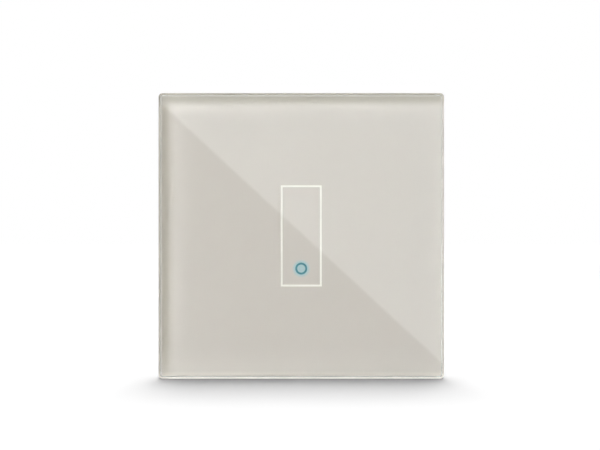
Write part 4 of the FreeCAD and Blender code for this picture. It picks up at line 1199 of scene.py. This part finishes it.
    def build(self) -> None:
        """Dress both boards."""
        touch_low, touch_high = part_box("touch_board")
        power_low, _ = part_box("power_board")
        self.chips(self.touch_chips, touch_high.y, 1, "touch_board_chips")
        self.chips(self.power_chips, power_low.y, -1, "power_board_chips")
        self.solder(power_low.y)
        self.tracks(self.power_tracks, power_low.y, -1, "power_board_tracks")
        self.tracks(self.touch_tracks, touch_high.y, 1, "touch_board_tracks")
        self.pad(touch_low.y)


@dataclass
class CarriedPieces:
    """The pieces whose CAD shape is shown as it is: each gets the finish of its slot.

    Attributes:
        built: the material of each slot that has come up.
    """

    built: dict[str, bpy.types.Material] = field(default_factory=dict)

    def finish_for(self, slot: str) -> bpy.types.Material | None:
        """Build a slot's finish once.

        Args:
            slot: the record's material slot.

        Returns:
            The material, or None where no finish is given.
        """
        if slot not in self.built and slot in FINISHES:
            self.built[slot] = FINISHES[slot].build()
        return self.built.get(slot)

    def dress(self) -> None:
        """Give each shown CAD node its finish."""
        for part in frame["record"]["subparts"]:
            material = self.finish_for(part["material_slot"])
            if material is None:
                continue
            mesh = frame["nodes"][part["node"]].data
            mesh.materials.clear()
            mesh.materials.append(material)
            log.info("%s: %s", part["node"], material.name)


GLASS_SIDE = ("glass_sheet", "printed_coat", "white_outline", "lit_ring")


@dataclass(frozen=True)
class Softbox:
    """A softbox that lights the glass side or the rest of the switch, and not the floor.

    Attributes:
        name: the lamp's name.
        place_mm: its middle; it is turned to the switch.
        wide_mm: its width.
        tall_mm: its height.
        watts: its power.
        glossy: whether gloss mirrors it.
        lights_glass: whether it lights the glass side or the rest.
    """

    name: str
    place_mm: tuple[float, float, float]
    wide_mm: float
    tall_mm: float
    watts: float
    glossy: bool = True
    lights_glass: bool = True

    def build(self) -> None:
        """Hang the softbox, turned to the switch."""
        lamp = bpy.data.lights.new(self.name, "AREA")
        lamp.shape = "RECTANGLE"
        lamp.size = self.wide_mm * MM
        lamp.size_y = self.tall_mm * MM
        lamp.energy = self.watts
        holder = bpy.data.objects.new(self.name, lamp)
        holder.location = Vector(self.place_mm) * MM
        holder.rotation_mode = "QUATERNION"
        holder.rotation_quaternion = (-holder.location).to_track_quat("-Z", "Y")
        holder.visible_glossy = self.glossy
        bpy.context.scene.collection.objects.link(holder)
        lit, whole = bpy.data.collections.new(self.name), bpy.data.collections.new(self.name + "_blockers")
        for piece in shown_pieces():
            whole.objects.link(piece)
            if (piece.name in GLASS_SIDE) == self.lights_glass:
                lit.objects.link(piece)
        holder.light_linking.receiver_collection = lit
        holder.light_linking.blocker_collection = whole


@dataclass
class Studio:
    """A white floor that the switch stands on, an even sky, softboxes and a card.

    Attributes:
        white: the level that shows as white with a little to spare.
        sky_level: the light of the even sky.
        sky_front_in_glass: what gloss mirrors of it from the camera's side.
        sky_turn: how softly the one turns to the other.
        floor_side_m: the floor's side.
        floor_colour: its paint.
        floor_in_glass: the light that it sends up through the glass.
        floor_fades_m: how far out its paint begins to fade into white, and where it has.
        overhead: pairs of the angle above the horizon, from behind, and the share of each overhead lamp.
        overhead_spread: the lamps' width in degrees.
        boxes: the softboxes.
        card_radiance: the card's light.
        card_tint: its colour, linear.
        card_distance_mm: how far it stands behind the camera.
        card_reach_mm: how far it runs on from its edge.
        card_edge_mm: two points in x and z where its edge is mirrored in the glass.
        card_soft_mm: how soft that edge is there.
    """

    white: float = 1.05
    sky_level: float = 0.85
    sky_front_in_glass: float = 0.04
    sky_turn: float = 0.4
    floor_side_m: float = 8.0
    floor_colour: str = "#707070"
    floor_in_glass: float = 0.9
    floor_fades_m: Point = (1.2, 2.4)
    overhead: tuple[Point, ...] = ((45.0, 0.18), (57.0, 0.15), (69.0, 0.17), (81.0, 0.3), (93.0, 0.2))
    overhead_spread: float = 22.0
    boxes: tuple[Softbox, ...] = (
        Softbox("softbox_left", (-1560.0, -900.0, 150.0), 600.0, 1500.0, 68.0, glossy=False),
        Softbox("softbox_top", (-100.0, -1157.0, 1379.0), 1500.0, 600.0, 33.0, glossy=False),
        Softbox("strip_low", (0.0, -20.0, -300.0), 300.0, 60.0, 0.5),
        Softbox("softbox_rest", (-900.0, 1000.0, 1000.0), 900.0, 900.0, 8.0, lights_glass=False),
    )
    card_radiance: float = 2.0
    card_tint: Colour = (0.94, 1.0, 1.0, 1.0)
    card_distance_mm: float = 900.0
    card_reach_mm: float = 1800.0
    card_edge_mm: tuple[Point, Point] = ((-34.4, 31.6), (30.4, -28.2))
    card_soft_mm: float = 1.5

    def sky(self) -> None:
        """Light the world evenly and show it white; the glass mirrors a dimmer room ahead of it."""
        world = bpy.data.worlds.new("sky")
        bpy.context.scene.world = world
        world.use_nodes = True
        tree = world.node_tree
        tree.nodes.clear()
        rays = add_node(tree, "LightPath").outputs
        towards = add_node(tree, "SeparateXYZ", inputs={0: add_node(tree, "TexCoord").outputs["Generated"]})
        ahead = add_node(tree, "MapRange", inputs={"Value": rays["Is Diffuse Ray"],
                                                   "To Min": self.sky_front_in_glass, "To Max": self.sky_level})
        level = add_node(tree, "MapRange", {"interpolation_type": "SMOOTHSTEP"},
                         {"Value": towards.outputs["Y"], "From Min": -self.sky_turn, "From Max": self.sky_turn,
                          "To Min": ahead.outputs["Result"], "To Max": self.sky_level})
        graded = add_node(tree, "Background", inputs={"Color": (1, 1, 1, 1), "Strength": level.outputs["Result"]})
        shown = add_node(tree, "Background", inputs={"Color": (1, 1, 1, 1), "Strength": 1.0})
        mix = add_node(tree, "MixShader", inputs={0: rays["Is Camera Ray"], 1: graded.outputs[0],
                                                  2: shown.outputs[0]})
        add_node(tree, "OutputWorld", inputs={"Surface": mix.outputs[0]})

    def floor(self) -> None:
        """Lay the floor under the lower edge of the glass, with the row of lamps that bring it up to white.

        They stand nearly overhead, a little behind, and throw the switch's soft shadow forward.
        """
        low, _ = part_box("glass_panel")
        bpy.ops.mesh.primitive_plane_add(size=self.floor_side_m, location=(0, 0, low.z))
        plane = bpy.context.object
        plane.name = "floor"
        material, tree = node_material("studio_floor")
        tree.nodes.clear()
        paint = add_node(tree, "BsdfDiffuse", inputs={"Color": linear(self.floor_colour)})
        white = add_node(tree, "Emission", inputs={"Strength": self.floor_in_glass})
        mix = add_node(tree, "MixShader", inputs={0: add_node(tree, "LightPath").outputs["Is Transmission Ray"],
                                                  1: paint.outputs[0], 2: white.outputs[0]})
        away = add_node(tree, "VectorMath", {"operation": "LENGTH"}, {0: object_place(tree)})
        near, far = self.floor_fades_m
        faded = add_node(tree, "MapRange", {"interpolation_type": "SMOOTHSTEP"},
                         {"Value": away.outputs["Value"], "From Min": near, "From Max": far})
        backdrop = add_node(tree, "Emission", inputs={"Strength": self.white})
        whole = add_node(tree, "MixShader", inputs={0: faded.outputs["Result"], 1: mix.outputs[0],
                                                    2: backdrop.outputs[0]})
        add_node(tree, "OutputMaterial", inputs={"Surface": whole.outputs[0]})
        plane.data.materials.append(material)
        plane.visible_glossy = False
        plane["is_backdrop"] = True
        lit = bpy.data.collections.new("floor_only")
        lit.objects.link(plane)
        grey = linear(self.floor_colour)[0]
        for step, (degrees, share) in enumerate(self.overhead):
            name = f"overhead_{step}"
            lamp = bpy.data.lights.new(name, "SUN")
            lamp.angle = math.radians(self.overhead_spread)
            wanted = share * (self.white - grey * self.sky_level)
            lamp.energy = wanted * math.pi / grey / math.sin(math.radians(degrees))
            holder = bpy.data.objects.new(name, lamp)
            holder.rotation_euler = (math.radians(degrees - 90), 0.0, 0.0)
            bpy.context.scene.collection.objects.link(holder)
            holder.light_linking.receiver_collection = lit

    def card(self, eye: Vector) -> None:
        """Stand a bright card behind the camera whose straight edge the glass mirrors as a diagonal.

        Args:
            eye: the camera's place, in metres.
        """
        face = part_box("glass_panel")[0].y
        mirror_eye = Vector((eye.x, 2 * face - eye.y, eye.z))
        distance = self.card_distance_mm * MM
        stretch = (mirror_eye.y - face + distance) / (mirror_eye.y - face)

        def cast(x: float, z: float) -> Vector:
            """Carry a point of the glass out to the card along the mirrored view."""
            spot = Vector((x * MM, face, z * MM))
            return mirror_eye + (spot - mirror_eye) * stretch

        start, end = (cast(*spot) for spot in self.card_edge_mm)
        along = (end - start).normalized()
        up = Vector((-along.z, 0.0, along.x))
        up = up if up.z > 0 else -up
        reach = self.card_reach_mm * MM
        corners = [start - along * reach, end + along * reach, end + (along + up) * reach,
                   start + (up - along) * reach]
        mesh = bpy.data.meshes.new("card")
        mesh.from_pydata([tuple(corner) for corner in corners], [], [(0, 1, 2, 3)])
        card = bpy.data.objects.new("card", mesh)
        bpy.context.scene.collection.objects.link(card)
        material, tree = node_material("lit_card")
        tree.nodes.clear()
        place = add_node(tree, "NewGeometry").outputs["Position"]
        offset = add_node(tree, "VectorMath", {"operation": "SUBTRACT"}, {0: place, 1: tuple(start)})
        height = add_node(tree, "VectorMath", {"operation": "DOT_PRODUCT"}, {0: offset.outputs[0], 1: tuple(up)})
        soft = self.card_soft_mm * MM * stretch
        rise = add_node(tree, "MapRange", {"interpolation_type": "SMOOTHSTEP"},
                        {"Value": height.outputs["Value"], "From Min": 0.0, "From Max": soft,
                         "To Min": 0.0, "To Max": 1.0})
        glow = add_node(tree, "Emission", inputs={"Color": self.card_tint, "Strength": self.card_radiance})
        clear = add_node(tree, "BsdfTransparent")
        mix = add_node(tree, "MixShader", inputs={0: rise.outputs["Result"], 1: clear.outputs[0],
                                                  2: glow.outputs[0]})
        add_node(tree, "OutputMaterial", inputs={"Surface": mix.outputs[0]})
        mesh.materials.append(material)
        for ray in ("camera", "diffuse", "transmission", "shadow"):
            setattr(card, "visible_" + ray, False)
        card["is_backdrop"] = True

    def build(self, eye: Vector) -> None:
        """Set up the whole studio.

        Args:
            eye: the camera's place, in metres.
        """
        self.sky()
        self.floor()
        for box in self.boxes:
            box.build()
        self.card(eye)
        log.info("studio: sky, floor, %d softboxes and card", len(self.boxes))


@dataclass
class Viewpoint:
    """The camera, level and square to the glass, as in the photo.

    Attributes:
        distance_mm: from the camera to the glass.
        right_mm: how far it stands to the right of the middle.
        above_mm: how far it stands above the middle.
        pixels_per_mm: the photo's scale at the glass.
        image_wide: the photo's width in pixels.
        sensor_mm: the camera's sensor width.
    """

    distance_mm: float = 600.0
    right_mm: float = -0.385
    above_mm: float = 3.37
    pixels_per_mm: float = 3.2477
    image_wide: int = 600
    sensor_mm: float = 36.0

    def build(self) -> Vector:
        """Place the camera.

        Returns:
            Where it is, in metres.
        """
        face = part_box("glass_panel")[0].y
        lens = bpy.data.cameras.new("camera")
        lens.sensor_width = self.sensor_mm
        lens.lens = self.pixels_per_mm * self.sensor_mm * self.distance_mm / self.image_wide
        holder = bpy.data.objects.new("camera", lens)
        holder.location = (self.right_mm * MM, face - self.distance_mm * MM, self.above_mm * MM)
        holder.rotation_euler = (math.pi / 2, 0.0, 0.0)
        bpy.context.scene.collection.objects.link(holder)
        bpy.context.scene.camera = holder
        return holder.location.copy()


def main() -> None:
    """Build the pieces, the camera and the studio."""
    logging.basicConfig(level=logging.INFO, format="%(message)s")
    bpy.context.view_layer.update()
    bpy.context.scene.view_settings.view_transform = "Standard"
    CarriedPieces().dress()
    GlassPanel().build()
    PrintedFace().build()
    for assembly in (EasedPieces(), TouchSpring(), RelayWinding(), SmoothingCans(), CaseScrews(), BoardDetails()):
        assembly.build()
    Studio().build(Viewpoint().build())


if __name__ == "__main__":
    main()
